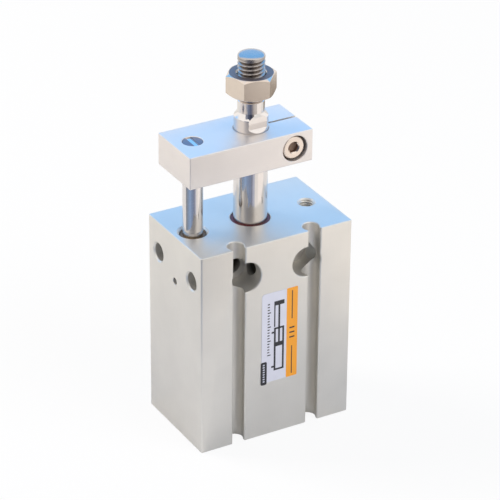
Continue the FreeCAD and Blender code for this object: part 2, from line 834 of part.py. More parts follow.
def make_piston_rod():
    """The rod: piston spigot below, then shoulder with wrench flats, cone, smooth neck and M8 thread.

    A thread is drawn plain: at its full diameter where it is bare, and at the nut's drill size inside the nut.
    """
    body = new_body("piston_rod")
    rod = "(Size.rod / 2)"
    spigot = "(Size.spigot / 2)"
    thread = "(Size.rod_thread / 2)"
    engaged = "(Size.nut_drill / 2 - Size.seated_gap)"
    tip = f"{PISTON_BOTTOM} + Size.edge_break"
    turn(
        body,
        "rod_turning",
        [
            ("0", tip),
            (f"{spigot} - Size.spigot_tip_bevel", tip),
            (spigot, f"{tip} + Size.spigot_tip_bevel"),
            (spigot, SPIGOT_SEAT),
            (rod, SPIGOT_SEAT),
            (rod, SHOULDER),
            (thread, THREAD_START),
            (thread, f"{NUT_BOTTOM} - Size.rod_relief"),
            (engaged, f"{NUT_BOTTOM} - Size.rod_relief"),
            (engaged, NUT_TOP),
            (thread, f"{NUT_TOP} + ({thread} - {engaged})"),
            (thread, f"{ROD_TIP} - Size.rod_tip_bevel"),
            (f"{thread} - Size.rod_tip_bevel", ROD_TIP),
            ("0", ROD_TIP),
        ],
    )
    flats = new_sketch(body, "wrench_flats_outline", "XY_Plane", lift=f"({PLATE_TOP} + Size.rod_flats_rise)")
    half_flats = "Size.rod_flats / 2"
    for inner_edge, outer_edge in ((half_flats, "Size.rod"), (f"-{half_flats}", "-Size.rod")):
        add_outline(
            flats,
            [
                ("-Size.rod", inner_edge),
                ("Size.rod", inner_edge),
                ("Size.rod", outer_edge),
                ("-Size.rod", outer_edge),
            ],
        )
    pocket(body, "wrench_flats", flats, "Size.rod_shoulder_rise", backwards=True)
    lift_with_rod(body)


def make_piston_o_ring():
    section = "(Size.spigot_seal_section - Size.seated_gap)"
    inner_radius = "(Size.spigot / 2 + Size.seated_gap)"
    bottom = f"({SPIGOT_SEAT} - Size.spigot_seal_section)"
    lift_with_rod(make_o_ring("piston_o_ring", inner_radius, bottom, section))


def make_hex_nut(label, flats, bottom, top, hole, turned="0"):
    """A hexagon nut with both faces bevelled; its thread is drawn as the plain hole it was cut from."""
    body = new_body(label)
    sketch = new_sketch(body, "hexagon", "XY_Plane", lift=bottom)
    add_outline(sketch, hexagon(flats, turned))
    pad(body, "prism", sketch, f"{top} - {bottom}")
    bevel_hexagon(body, flats, bottom, top)
    centre = new_sketch(body, "hole_outline", "XY_Plane", lift=top)
    add_circle(centre, "0", "0", hole)
    pocket(body, "hole", centre, f"{top} - {bottom}")
    lift_with_rod(body)


def make_piston_nut():
    top = f"({PISTON_BOTTOM} + Size.piston_nut_pocket_depth)"
    hole = "(Size.spigot + 2 * Size.seated_gap)"
    make_hex_nut("piston_nut", "Size.piston_nut_flats", f"({top} - Size.piston_nut_height)", top, hole)


def make_rod_end_nut():
    make_hex_nut("rod_end_nut", "Size.nut_flats", NUT_BOTTOM, NUT_TOP, "Size.nut_drill", "Size.nut_turn")


def make_guide_plate():
    """The plate that joins the rods: clamped on the piston rod by a slit and a screw across it."""
    body = new_body("guide_plate")
    outline = new_sketch(body, "plate_outline", "XY_Plane", lift=PLATE_BOTTOM)
    left = "-Size.plate_near_end"
    right = "Size.plate_far_end"
    add_outline(
        outline,
        [(left, f"-{PLATE_FRONT}"), (right, f"-{PLATE_FRONT}"), (right, PLATE_FRONT), (left, PLATE_FRONT)],
    )
    block = pad(body, "plate", outline, "Size.plate_thickness")
    dress(body, "Chamfer", "plate_edges", block, lambda edge: True, "Size.plate_edge")
    cut_plate_turned_hole(body, "rod_hole", "Size.rod / 2 + Size.seated_gap", None)
    cut_plate_turned_hole(body, "guide_rod_hole", "Size.guide_rod / 2 + Size.seated_gap", "-Size.guide_offset")
    slit = new_sketch(body, "slit_outline", "XY_Plane")
    half_slit = "Size.plate_slit / 2"
    add_outline(slit, [("0", f"-{half_slit}"), (right, f"-{half_slit}"), (right, half_slit), ("0", half_slit)])
    pocket(body, "slit", slit)
    drill_clamp_screw_hole(body)
    lift_with_rod(body)


def cut_plate_turned_hole(body, name, radius, shift):
    """A hole right through the plate with a small bevel at both mouths."""
    turn_out(
        body,
        name,
        [
            ("0", PLATE_BOTTOM),
            (f"{radius} + Size.edge_break", PLATE_BOTTOM),
            (radius, f"{PLATE_BOTTOM} + Size.edge_break"),
            (radius, f"{PLATE_TOP} - Size.edge_break"),
            (f"{radius} + Size.edge_break", PLATE_TOP),
            ("0", PLATE_TOP),
        ],
        shift,
    )


def drill_clamp_screw_hole(body):
    """Thread right through, opened to a clearance hole as far as the slit, with a pocket for the head."""
    for name, size, depth in (
        ("clamp_thread_hole", "Size.clamp_thread + 2 * Size.seated_gap", "Size.plate_width"),
        ("clamp_clearance_hole", "Size.clamp_clearance", PLATE_FRONT),
        ("clamp_head_pocket", "Size.clamp_pocket", "Size.clamp_head_height + Size.clamp_head_sink"),
    ):
        sketch = new_sketch(body, f"{name}_centre", "XZ_Plane", lift=PLATE_FRONT)
        add_circle(sketch, "Size.clamp_offset", PLATE_MIDDLE, size)
        pocket(body, name, sketch, depth)


def make_clamp_screw():
    """An M4 socket-head cap screw, drawn upright about its seat and then laid along the Y axis."""
    body = new_body("clamp_screw")
    head = "(Size.clamp_head / 2)"
    thread = "(Size.clamp_thread / 2)"
    turn(
        body,
        "screw_turning",
        [
            ("0", "-Size.clamp_thread_length"),
            (f"{thread} - 0.5", "-Size.clamp_thread_length"),
            (thread, "-Size.clamp_thread_length + 0.5"),
            (thread, "0"),
            (head, "0"),
            (head, "Size.clamp_head_height - 0.4"),
            (f"{head} - 0.4", "Size.clamp_head_height"),
            ("0", "Size.clamp_head_height"),
        ],
    )
    key = new_sketch(body, "key_outline", "XY_Plane", lift="Size.clamp_head_height")
    add_outline(key, hexagon("Size.clamp_key"))
    pocket(body, "key_socket", key, "Size.clamp_key_depth")
    body.Placement = FreeCAD.Placement(FreeCAD.Vector(), FreeCAD.Rotation(FreeCAD.Vector(1, 0, 0), 90))
    seat = f"(-{PLATE_FRONT} + Size.clamp_head_height + Size.clamp_head_sink)"
    body.setExpression("Placement.Base.x", "Size.clamp_offset")
    body.setExpression("Placement.Base.y", seat)
    body.setExpression("Placement.Base.z", f"{PLATE_MIDDLE} + Size.extension")


def make_guide_rod():
    """The rod that keeps the plate from turning, screwed flush into the plate by its driver slot."""
    body = new_body("guide_rod")
    radius = "(Size.guide_rod / 2)"
    bottom = f"({PLATE_TOP} - Size.guide_rod_length)"
    turn(
        body,
        "guide_rod_turning",
        [
            ("0", bottom),
            (f"{radius} - 0.6", bottom),
            (radius, f"{bottom} + 0.6"),
            (radius, f"{PLATE_TOP} - Size.edge_break"),
            (f"{radius} - Size.edge_break", PLATE_TOP),
            ("0", PLATE_TOP),
        ],
        shift="-Size.guide_offset",
    )
    slot = new_sketch(body, "driver_slot_outline", "XY_Plane", shift="-Size.guide_offset", lift=PLATE_TOP)
    half_slot = "Size.driver_slot / 2"
    reach = "Size.guide_rod / 2"
    add_outline(
        slot,
        [(f"-{half_slot}", f"-{reach}"), (half_slot, f"-{reach}"), (half_slot, reach), (f"-{half_slot}", reach)],
    )
    pocket(body, "driver_slot", slot, "Size.driver_slot_depth")
    lift_with_rod(body)


# ------------------------------------------------------------------------------ check and write


def check_document():
    """Stop on any failed object and on any sub-part without one valid closed solid or more."""
    doc.recompute()
    for thing in doc.Objects:
        if "Invalid" in thing.State or "Error" in thing.State:
            raise RuntimeError(f"{thing.Name} failed: {thing.State}")
    bodies = [thing for thing in doc.Objects if thing.TypeId == "PartDesign::Body"]
    for body in bodies:
        shape = body.Shape
        if shape.isNull() or not shape.isValid() or not shape.Solids:
            raise RuntimeError(f"{body.Label} has no valid solid")
    return bodies


def write_parts(bodies):
    os.makedirs(PARTS_FOLDER, exist_ok=True)
    for body in bodies:
        body.Shape.exportStep(os.path.join(PARTS_FOLDER, f"{body.Label}.step"))
        box = body.Shape.BoundBox
        print(
            f"{body.Label:24s} {len(body.Shape.Solids)} solid {body.Shape.Volume / 1000:8.3f} cm3"
            f"  x {box.XMin:7.2f} {box.XMax:7.2f}  y {box.YMin:7.2f} {box.YMax:7.2f}"
            f"  z {box.ZMin:7.2f} {box.ZMax:7.2f}"
        )


make_cylinder_body()
make_rod_bush()
make_rod_seal()
make_guide_bush()
make_bumper("rod_side_bumper", f"({BORE_TOP} - Size.bumper_thickness)")
make_bumper("head_side_bumper", "Size.cover_inner_face")
make_head_cover()
make_head_cover_o_ring()
make_snap_ring()
make_piston()
make_piston_seals()
make_wear_ring()
make_piston_rod()
make_piston_o_ring()
make_piston_nut()
make_guide_plate()
make_clamp_screw()
make_guide_rod()
make_rod_end_nut()
write_parts(check_document())
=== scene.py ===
# %% [markdown]
# # A guided pneumatic cylinder, dressed in Blender
#
# The object is a small compressed-air cylinder. A block of aluminium holds the bore, a polished rod
# comes out of its top, and a plate clamped on that rod carries a second, thinner rod that stops it
# turning. This lesson makes the surfaces that the eye sees and gives each one the finish it really has.
# The first cell loads the frame: the solid model of every part, in metres, already in its place.

import bmesh
import bpy
import numpy as np
from mathutils import Matrix, Vector


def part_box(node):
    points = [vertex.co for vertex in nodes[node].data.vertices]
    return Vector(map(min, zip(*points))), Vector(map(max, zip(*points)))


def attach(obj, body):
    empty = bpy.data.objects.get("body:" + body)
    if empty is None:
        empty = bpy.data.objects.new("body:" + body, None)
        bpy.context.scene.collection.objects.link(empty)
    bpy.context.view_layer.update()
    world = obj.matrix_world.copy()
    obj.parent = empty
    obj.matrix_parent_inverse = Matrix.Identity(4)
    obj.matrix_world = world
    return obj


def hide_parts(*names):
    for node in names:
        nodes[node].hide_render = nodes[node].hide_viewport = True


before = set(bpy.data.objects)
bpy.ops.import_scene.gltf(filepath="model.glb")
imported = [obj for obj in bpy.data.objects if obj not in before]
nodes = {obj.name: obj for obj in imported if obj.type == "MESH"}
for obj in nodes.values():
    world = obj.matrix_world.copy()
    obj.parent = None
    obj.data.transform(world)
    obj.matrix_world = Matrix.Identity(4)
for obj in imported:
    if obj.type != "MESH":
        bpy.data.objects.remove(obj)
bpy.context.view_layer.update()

# %% [markdown]
# Every place is worked out in millimetres from the boxes of the frame's own parts, because that is how a
# maker thinks of them. Blender works in metres, so the numbers could be written as 0.0125 and the like,
# but 12.5 is easier to read and to check. A mesh is turned into metres once, when it is finished.

# %% Work in millimetres
MM = 0.001


def box_mm(node):
    """Lowest and highest corner of a frame part, in millimetres."""
    low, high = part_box(node)
    return np.array(low) / MM, np.array(high) / MM


body_low, body_high = box_mm("cylinder_body")
plate_low, plate_high = box_mm("guide_plate")
rod_low, rod_high = box_mm("piston_rod")
nut_low, nut_high = box_mm("rod_end_nut")
guide_low, guide_high = box_mm("guide_rod")
TOP = body_high[2]
FRONT = body_low[1]
GUIDE_X = (guide_low[0] + guide_high[0]) / 2
print("body", body_low, body_high)

# %% [markdown]
# The camera comes first, because it decides which sides get the closest look. It could be placed by hand
# and aimed with a constraint, but here its three axes are worked out from a bearing and a height above the
# horizon and written into its matrix, so nothing depends on anything else. It stands to the left of the
# front, a little above, with a long lens, so that upright edges stay almost parallel.

# %% Camera
AZIMUTH, ELEVATION, ROLL = np.radians([-29.85, 28.54, 0.464])
DISTANCE, TARGET = 800.7, np.array([0.04, 0.0, 53.95])
SENSOR, FOCAL = 36.0, 196.7616

camera_side = np.array([np.sin(AZIMUTH), -np.cos(AZIMUTH), 0.0])
back = camera_side * np.cos(ELEVATION) + (0, 0, np.sin(ELEVATION))
level = np.array([np.cos(AZIMUTH), np.sin(AZIMUTH), 0.0])
upright = np.cross(back, level)
right = level * np.cos(ROLL) + upright * np.sin(ROLL)
up = upright * np.cos(ROLL) - level * np.sin(ROLL)

lens = bpy.data.cameras.new("camera")
lens.sensor_width, lens.lens, lens.clip_end = SENSOR, FOCAL, 20.0
camera = bpy.data.objects.new("camera", lens)
bpy.context.scene.collection.objects.link(camera)
turn = Matrix(np.column_stack([right, up, back]).tolist()).to_4x4()
camera.matrix_world = Matrix.Translation(Vector((TARGET + back * DISTANCE) * MM)) @ turn
bpy.context.scene.camera = camera
bpy.context.scene.view_settings.view_transform = "Standard"
print("camera at", list(camera.matrix_world.translation))

# %% [markdown]
# Two small helpers serve every material. Colours are written as the hex values a paint program shows,
# and Blender's shaders want linear light, so one function does that change. The other adds one node,
# sets it and links it, which keeps each material readable from top to bottom.

# %% Colour and node helpers
def linear(hex_colour):
    """Linear red, green, blue and alpha: each channel c becomes ((c + 0.055) / 1.055) to the power 2.4."""
    c = np.array([int(hex_colour[i : i + 2], 16) for i in (1, 3, 5)]) / 255
    c = np.where(c <= 0.04045, c / 12.92, ((c + 0.055) / 1.055) ** 2.4)
    return (*c.tolist(), 1.0)


def node(tree, kind, settings=None, links=None):
    """Adds a node of a kind; settings are properties or socket values, links are sockets fed by others."""
    new = tree.nodes.new(kind)
    for name, value in (settings or {}).items():
        if isinstance(name, str) and hasattr(new, name):
            setattr(new, name, value)
        else:
            new.inputs[name].default_value = value
    for name, source in (links or {}).items():
        tree.links.new(source, new.inputs[name])
    return new


def new_material(name):
    """An empty node material and its tree."""
    material = bpy.data.materials.new(name)
    material.use_nodes = True
    material.node_tree.nodes.clear()
    return material, material.node_tree

# %% [markdown]
# The room is a studio with a white surround and a pale blue light high at the back. Metal shows what
# stands round it, so the room matters as much as the metal. It could be lit by a panorama picture, but a
# few nodes do it with no file: Light Path tells the three kinds of ray apart, so the camera sees plain
# white, mirrors see the warm and blue studio, and dull surfaces get an even, plain light.

# %% World light
def kinds_of_ray(tree):
    """Two sockets: 1 for a ray from the camera, and 1 for a ray that comes by way of a mirror or glass."""
    ray = node(tree, "ShaderNodeLightPath")
    either = {0: ray.outputs["Is Glossy Ray"], 1: ray.outputs["Is Transmission Ray"]}
    mirrored = node(tree, "ShaderNodeMath", {"operation": "MAXIMUM"}, either)
    return ray.outputs["Is Camera Ray"], mirrored.outputs[0]


WARM, BLUE = (1.22, 1.18, 1.15, 1.0), (0.35, 0.86, 1.62, 1.0)
world = bpy.data.worlds.new("studio")
bpy.context.scene.world = world
world.use_nodes = True
sky = world.node_tree
sky.nodes.clear()
direction = node(sky, "ShaderNodeTexCoord").outputs["Generated"]
facing = {"operation": "DOT_PRODUCT", 1: (-camera_side).tolist()}
behind = node(sky, "ShaderNodeVectorMath", facing, {0: direction}).outputs["Value"]
height = node(sky, "ShaderNodeSeparateXYZ", links={0: direction}).outputs["Z"]
fades = []
for source, start, end in ((behind, 0.0, 0.5), (height, 0.18, 0.38)):
    span = {"interpolation_type": "SMOOTHSTEP", "From Min": start, "From Max": end}
    fades.append(node(sky, "ShaderNodeMapRange", span, {"Value": source}).outputs[0])
panel = node(sky, "ShaderNodeMath", {"operation": "MULTIPLY"}, {0: fades[0], 1: fades[1]})
tint = node(sky, "ShaderNodeMix", {"data_type": "RGBA", 6: WARM, 7: BLUE}, {0: panel.outputs[0]})
shiny = node(sky, "ShaderNodeBackground", {"Strength": 1.0}, {"Color": tint.outputs[2]})
plain = node(sky, "ShaderNodeBackground", {"Color": linear("#EDF2FF"), "Strength": 0.5})
seen = node(sky, "ShaderNodeBackground", {"Color": linear("#FFFFFF"), "Strength": 1.0})
from_camera, from_mirror = kinds_of_ray(sky)
lit = node(sky, "ShaderNodeMixShader", links={0: from_mirror, 1: plain.outputs[0], 2: shiny.outputs[0]})
shown = node(sky, "ShaderNodeMixShader", links={0: from_camera, 1: lit.outputs[0], 2: seen.outputs[0]})
node(sky, "ShaderNodeOutputWorld", links={0: shown.outputs[0]})
print("world:", len(sky.nodes), "nodes")

# %% [markdown]
# The floor is a sheet of matt white paper. One flat quad is enough for it. To the camera it is mostly a
# white glow with a little paper mixed in, which keeps the object's soft shadow and hides the horizon. A
# mirror sees more paper near the object and more glow far away, a painted pool of light round the object,
# so upright metal grows darker towards its foot, as it does on a real table.

# %% Floor
def mesh_object(name, points, faces):
    """An object in the scene whose mesh has these points and faces."""
    mesh = bpy.data.meshes.new(name)
    mesh.from_pydata(np.asarray(points, float).reshape(-1, 3).tolist(), [], faces)
    made = bpy.data.objects.new(name, mesh)
    bpy.context.scene.collection.objects.link(made)
    return made


REACH = 3000 * MM
corners = [(-REACH, -REACH, 0), (REACH, -REACH, 0), (REACH, REACH, 0), (-REACH, REACH, 0)]
floor = mesh_object("floor", corners, [(0, 1, 2, 3)])
floor_material, tree = new_material("white paper floor")
paper = node(tree, "ShaderNodeBsdfDiffuse", {"Color": linear("#E4E6EA")}).outputs[0]
glow = node(tree, "ShaderNodeEmission", {"Color": linear("#FFFFFF"), "Strength": 1.0}).outputs[0]
warm_glow = node(tree, "ShaderNodeEmission", {"Color": linear("#FFFBF4"), "Strength": 1.0}).outputs[0]
spot = node(tree, "ShaderNodeTexCoord")
away = node(tree, "ShaderNodeVectorMath", {"operation": "LENGTH"}, {0: spot.outputs["Object"]})
# Painted pool of light: in mirrors the floor glows more the farther it lies from the object, and is painted
# shade near its foot.
span = {"From Min": 0.03, "From Max": 0.24, "To Min": 0.05, "To Max": 0.75}
span["interpolation_type"] = "SMOOTHSTEP"
pool = node(tree, "ShaderNodeMapRange", span, {"Value": away.outputs["Value"]})
for_camera = node(tree, "ShaderNodeMixShader", {0: 0.9}, {1: paper, 2: glow}).outputs[0]
for_metal = node(tree, "ShaderNodeMixShader", links={0: pool.outputs[0], 1: paper, 2: warm_glow}).outputs[0]
from_camera, from_mirror = kinds_of_ray(tree)
half = node(tree, "ShaderNodeMixShader", links={0: from_mirror, 1: paper, 2: for_metal}).outputs[0]
whole = node(tree, "ShaderNodeMixShader", links={0: from_camera, 1: half, 2: for_camera}).outputs[0]
node(tree, "ShaderNodeOutputMaterial", links={0: whole})
floor.data.materials.append(floor_material)
print("floor:", list(floor.dimensions))

# %% [markdown]
# Two big soft lamps give the shading and the shadow. They are hidden from mirrors, because a square lamp
# in a polished rod looks false. Polished rods want stripes instead, and a photographer gets those from
# cards stood round the object. Each card is a piece of a cylinder that glows in one colour and that only
# mirrors see. Its bearing picks where on a round rod it shows, and its height picks which part shows it.
# The colours were tuned for the stripes that the main view should show, so they say something
# about the room and nothing about the metal.

# %% Lamps and cards
def soft_lamp(name, place, size, power, colour):
    """A square lamp at a place in millimetres, aimed at the middle of the object, unseen by mirrors."""
    data = bpy.data.lights.new(name, "AREA")
    data.shape, data.size, data.energy, data.color = "SQUARE", size * MM, power, linear(colour)[:3]
    lamp = bpy.data.objects.new(name, data)
    bpy.context.scene.collection.objects.link(lamp)
    place = Vector(place) * MM
    aim = Vector((0, 0, 0.055)) - place
    lamp.matrix_world = Matrix.Translation(place) @ aim.to_track_quat("-Z", "Y").to_matrix().to_4x4()
    lamp.visible_glossy = False


soft_lamp("key lamp", (-560, 600, 800), 450, 9.0, "#FFF6EA")
soft_lamp("fill lamp", (500, -1000, 900), 900, 11.0, "#FFFFFF")


def grid_faces(rows, columns, wrap):
    """Quads between neighbouring rows and columns of points; wrap joins the last column to the first."""
    i = np.arange(rows - 1)[:, None]
    j = np.arange(columns if wrap else columns - 1)[None, :]
    near, far = i * columns, (i + 1) * columns
    k = (j + 1) % columns
    return np.stack([near + j, near + k, far + k, far + j], -1).reshape(-1, 4)


CARD_DISTANCE, CARD_COLUMNS = 105, 24


def card(name, start, end, bottom, top, colour, strength=1.0):
    """An upright curved card round the object: bearings in degrees, heights in millimetres."""
    bearing = np.radians(np.linspace(start, end, CARD_COLUMNS))
    ring = np.stack([np.cos(bearing), np.sin(bearing)], -1) * CARD_DISTANCE
    points = [np.column_stack([ring, np.full(CARD_COLUMNS, z)]) for z in (bottom, top)]
    made = mesh_object(name, np.array(points) * MM, grid_faces(2, CARD_COLUMNS, False).tolist())
    material, tree = new_material(name)
    light = node(tree, "ShaderNodeEmission", {"Color": linear(colour), "Strength": strength})
    node(tree, "ShaderNodeOutputMaterial", links={0: light.outputs[0]})
    made.data.materials.append(material)
    made.visible_camera = made.visible_diffuse = made.visible_shadow = False


CARD_LEVELS = (1, 42, 50, 63)
TALL_TOP = 190
for start, end, *colours in (
    (166, 182, "#9097A2", "#D2CDCC", "#D2CDCC"),
    (182, 200, "#92A6C1", "#B6B1B4", "#BCC0C8"),
    (200, 214, "#9CB5DB", "#93959E", "#A3ABC0"),
    (214, 228, "#90A4C4", "#747A88", "#7C86A2"),
    (228, 243, "#8A99B6", "#55575F", "#6A7188"),
    (243, 254, "#8C92A7", "#5A585C", "#8A8896"),
    (254, 268, "#C1C5D6", "#8E8580", "#C0B9B6"),
    (268, 290, "#FBF6F2", "#C2B8B2", "#D6CFCA"),
):
    for bottom, top, colour in zip(CARD_LEVELS, CARD_LEVELS[1:], colours):
        card(f"card {start} {bottom}", start, end, bottom, top, colour)
for start, end, colour in (
    (198, 216, "#8E94A6"),
    (216, 230, "#586078"),
    (230, 252, "#454A5C"),
    (252, 266, "#8A8584"),
):
    card(f"tall card {start}", start, end, CARD_LEVELS[-1], TALL_TOP, colour)
card("bright card", 290, 335, CARD_LEVELS[0], CARD_LEVELS[-1], "#FFF8F3", 1.15)
card("side card", 2, 45, 36, CARD_LEVELS[-1], "#A39A90")

# %% [markdown]
# Shapes are functions of two numbers. Blender's own primitives would do for a plain rod, but not for a
# thread or an undercut groove, so every shape here is a stack of rings, each a closed loop of points. The
# first helper skins the rings with quads and closes both ends, so the shape is watertight and can be cut
# by another. The second joins the last ring to the first, for a shape with a hole right through it.

# %% Closed surfaces
def solid(name, rings):
    """A closed mesh in millimetres: quads between rings of equal length, one many-sided cap each end."""
    rings = np.asarray(rings, float)
    rows, columns = rings.shape[:2]
    points = rings.reshape(-1, 3)
    quads = grid_faces(rows, columns, True)
    p, q, r, s = (points[quads[:, k]] for k in range(4))
    normals = np.cross(q - p, r - p) + np.cross(r - p, s - p)
    outwards = ((p - points.mean(0)) * normals).sum() > 0
    first = np.arange(columns)
    faces = quads.tolist() + [first[::-1].tolist(), (first + (rows - 1) * columns).tolist()]
    return mesh_object(name, points, faces if outwards else [face[::-1] for face in faces])


def ring_shape(name, rings):
    """A closed tube bent into itself: the last ring joins the first, so there are no caps."""
    rings = np.asarray(rings, float)
    rows, columns = rings.shape[:2]
    quads = grid_faces(rows + 1, columns, True) % (rows * columns)
    made = mesh_object(name, rings, quads.tolist())
    shell = bmesh.new()
    shell.from_mesh(made.data)
    bmesh.ops.recalc_face_normals(shell, faces=shell.faces)
    shell.to_mesh(made.data)
    shell.free()
    return made


cube = solid("trial", [[[0, 0, z], [1, 0, z], [1, 1, z], [0, 1, z]] for z in (0, 1)])
print("a cube as rings:", len(cube.data.polygons), "faces")
bpy.data.objects.remove(cube)

# %% [markdown]
# Rods, holes and screws come from a lathe or a drill. A Screw modifier could spin their profile, but a
# formula can do more: the radius may change with the angle as well as with the height, and that is all a
# thread or a hexagon needs. A thread is a triangle wave that climbs one pitch in each turn.

# %% Turned parts and threads
AXES = {"x": (1, 2, 0), "y": (2, 0, 1), "z": (0, 1, 2)}


def around(radius, along, angle, axis="z", centre=(0, 0, 0)):
    """Points round an axis: (r cos a, r sin a, h), turned to the axis and moved to the centre."""
    radius, along, angle = np.broadcast_arrays(radius, along, angle)
    points = np.zeros((*radius.shape, 3))
    first, second, third = AXES[axis]
    points[..., first] = radius * np.cos(angle)
    points[..., second] = radius * np.sin(angle)
    points[..., third] = along
    return points + np.asarray(centre, float)


def turned(name, profile, axis="z", centre=(0, 0, 0), columns=96):
    """A solid of revolution: profile is rows of (radius, distance along the axis)."""
    profile = np.asarray(profile, float)
    angle = np.linspace(0, 2 * np.pi, columns, endpoint=False)[None, :]
    return solid(name, around(profile[:, :1], profile[:, 1:], angle, axis, centre))


def thread_wave(angle, height, pitch):
    """-1 at the root to 1 at the crest: a triangle wave of height / pitch - angle / turn, clipped."""
    turns = height / pitch - angle / (2 * np.pi)
    wave = 1 - 4 * np.abs(turns - np.floor(turns + 0.5))
    return np.clip(1.3 * wave, -1, 1)


print("one pitch of thread:", thread_wave(0.0, np.linspace(0, 1, 6), 1).round(2))

# %% [markdown]
# Sawn and milled blocks have edges that were broken with a file or a brush. A Bevel modifier could round
# them, but holes are cut later, and a bevel after that would crawl into every hole. So the round edge is
# part of the block's own formula: an outline that shrinks along a quarter circle at each end.

# %% Rounded blocks
def rounded_outline(half_x, half_y, radius):
    """A rectangle with round corners, anticlockwise: four quarter circles joined by straight runs."""
    quarter = np.linspace(0, np.pi / 2, 7)
    corners = []
    for k, (sx, sy) in enumerate(((1, 1), (-1, 1), (-1, -1), (1, -1))):
        turned_by = quarter + k * np.pi / 2
        x = sx * (half_x - radius) + radius * np.cos(turned_by)
        y = sy * (half_y - radius) + radius * np.sin(turned_by)
        corners.append(np.column_stack([x, y]))
    return np.concatenate(corners)


def rounded_block(name, low, high, corner, edge):
    """A block whose upright corners have one radius, and whose end edges roll over by another."""
    low, high = np.asarray(low, float), np.asarray(high, float)
    half = (high - low) / 2
    middle = (high + low) / 2
    t = np.linspace(0, np.pi / 2, 4)
    inset = np.concatenate([edge * (1 - np.sin(t)), edge * (1 - np.sin(t))[::-1]])
    rise = np.concatenate([low[2] + edge * (1 - np.cos(t)), high[2] - edge * (1 - np.cos(t))[::-1]])
    rings = []
    for shrink, z in zip(inset, rise):
        outline = rounded_outline(half[0] - shrink, half[1] - shrink, max(corner - shrink, 0.05))
        rings.append(np.column_stack([outline + middle[:2], np.full(len(outline), z)]))
    return solid(name, rings)


print("points round a block:", len(rounded_outline(10, 5, 1)))

# %% [markdown]
# Machining takes metal away, and so does this helper. Each hole is a closed shape, and one Boolean
# modifier with the manifold solver takes it out of the block. The result is read back as a plain mesh, so
# no modifier is left. The last helper is the same for every piece: metres, smooth shading that stops at
# sharp edges, the material, and the body of the mechanism that the piece moves with.

# %% Cutting and finishing
def carve(piece, cutters):
    """Takes closed cutters out of a closed piece, one Boolean for each, and keeps the result."""
    for cutter in cutters:
        step = piece.modifiers.new("cut", "BOOLEAN")
        step.operation, step.solver, step.object = "DIFFERENCE", "MANIFOLD", cutter
    bpy.context.view_layer.update()
    evaluated = piece.evaluated_get(bpy.context.evaluated_depsgraph_get())
    result = bpy.data.meshes.new_from_object(evaluated)
    piece.modifiers.clear()
    piece.data = result
    for cutter in cutters:
        bpy.data.objects.remove(cutter)
    return piece


SMOOTH_UP_TO = 35


def finish(piece, body, material, replaced=(), smooth=SMOOTH_UP_TO):
    """Metres, smooth shading up to an angle, material, the body it rides on and the parts it stands for."""
    mesh = piece.data
    mesh.transform(Matrix.Scale(MM, 4))
    mesh.materials.clear()
    mesh.materials.append(material)
    mesh.shade_smooth()
    mesh.set_sharp_from_angle(angle=np.radians(smooth))
    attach(piece, body)
    if replaced:
        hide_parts(*replaced)
    print(piece.name, len(mesh.vertices), "points")


print("an edge stays sharp above", SMOOTH_UP_TO, "degrees")

# %% [markdown]
# Aluminium first. The body is cut from an extruded bar, so its long sides carry faint drawn lines, and
# then it is anodised: the skin turns matt and pale, and its shine spreads wide. A brushed metal picture
# could be wrapped round it, but noise stretched along one axis gives the same lines with no seams. Real
# drawn lines are finer than 0.1 mm. Here they are 0.2 mm apart, as coarse as they need to be to show.

# %% Anodised aluminium
MIDDLE = {"From Min": 0.3, "From Max": 0.7}
LINES_PER_MM = 5.0


def metric_coordinates(tree, stretch=(1, 1, 1)):
    """Object coordinates counted in millimetres, squeezed or stretched per axis."""
    place = node(tree, "ShaderNodeTexCoord")
    scale = tuple(s / MM for s in stretch)
    return node(tree, "ShaderNodeMapping", {"Scale": scale}, {"Vector": place.outputs["Object"]}).outputs[0]


def lumps(tree, per_mm, detail, stretch=(1, 1, 1)):
    """Noise with so many lumps to the millimetre; nearly all of its values lie from 0.3 to 0.7."""
    settings = {"Scale": per_mm, "Detail": detail}
    place = {"Vector": metric_coordinates(tree, stretch)}
    return node(tree, "ShaderNodeTexNoise", settings, place).outputs[0]


def toned(tree, colour, pattern, low, high, mask=None, masked_colour="#000000"):
    """A colour times a tone that goes from low to high with a pattern, and another colour under a mask."""
    tone = node(tree, "ShaderNodeMapRange", {**MIDDLE, "To Min": low, "To Max": high}, {"Value": pattern})
    times = {"data_type": "RGBA", "blend_type": "MULTIPLY", 0: 1.0, 6: linear(colour)}
    base = node(tree, "ShaderNodeMix", times, {7: tone.outputs[0]}).outputs[2]
    if mask:
        other = {"data_type": "RGBA", 7: linear(masked_colour)}
        base = node(tree, "ShaderNodeMix", other, {0: mask(tree), 6: base}).outputs[2]
    return base


def shaded(tree, settings, links, height, strength, depth):
    """Ends a material: a bump so many millimetres deep, one Principled shader, and the output."""
    bump = node(tree, "ShaderNodeBump", {"Strength": strength, "Distance": depth * MM}, {"Height": height})
    shader = node(tree, "ShaderNodeBsdfPrincipled", settings, {**links, "Normal": bump.outputs[0]})
    node(tree, "ShaderNodeOutputMaterial", links={0: shader.outputs[0]})


def anodised(name, colour, lines, roughness, mask=None, masked_colour="#000000"):
    """Anodised aluminium: tone clouds 12 mm wide, drawn lines one way, and a fine etched grain."""
    material, tree = new_material(name)
    base = toned(tree, colour, lumps(tree, 1 / 12, 3.0), 0.965, 1.02, mask, masked_colour)
    drawn = lumps(tree, LINES_PER_MM, 2.0, lines)
    span = {**MIDDLE, "To Min": roughness - 0.05, "To Max": roughness + 0.05}
    rough = node(tree, "ShaderNodeMapRange", span, {"Value": drawn}).outputs[0]
    grained = {0: drawn, 1: lumps(tree, 9.0, 2.0)}
    relief = node(tree, "ShaderNodeMath", {"operation": "ADD"}, grained).outputs[0]
    shaded(tree, {"Metallic": 0.8}, {"Base Color": base, "Roughness": rough}, relief, 0.25, 0.01)
    return material


print("anodised lines, mm apart:", 1 / LINES_PER_MM)

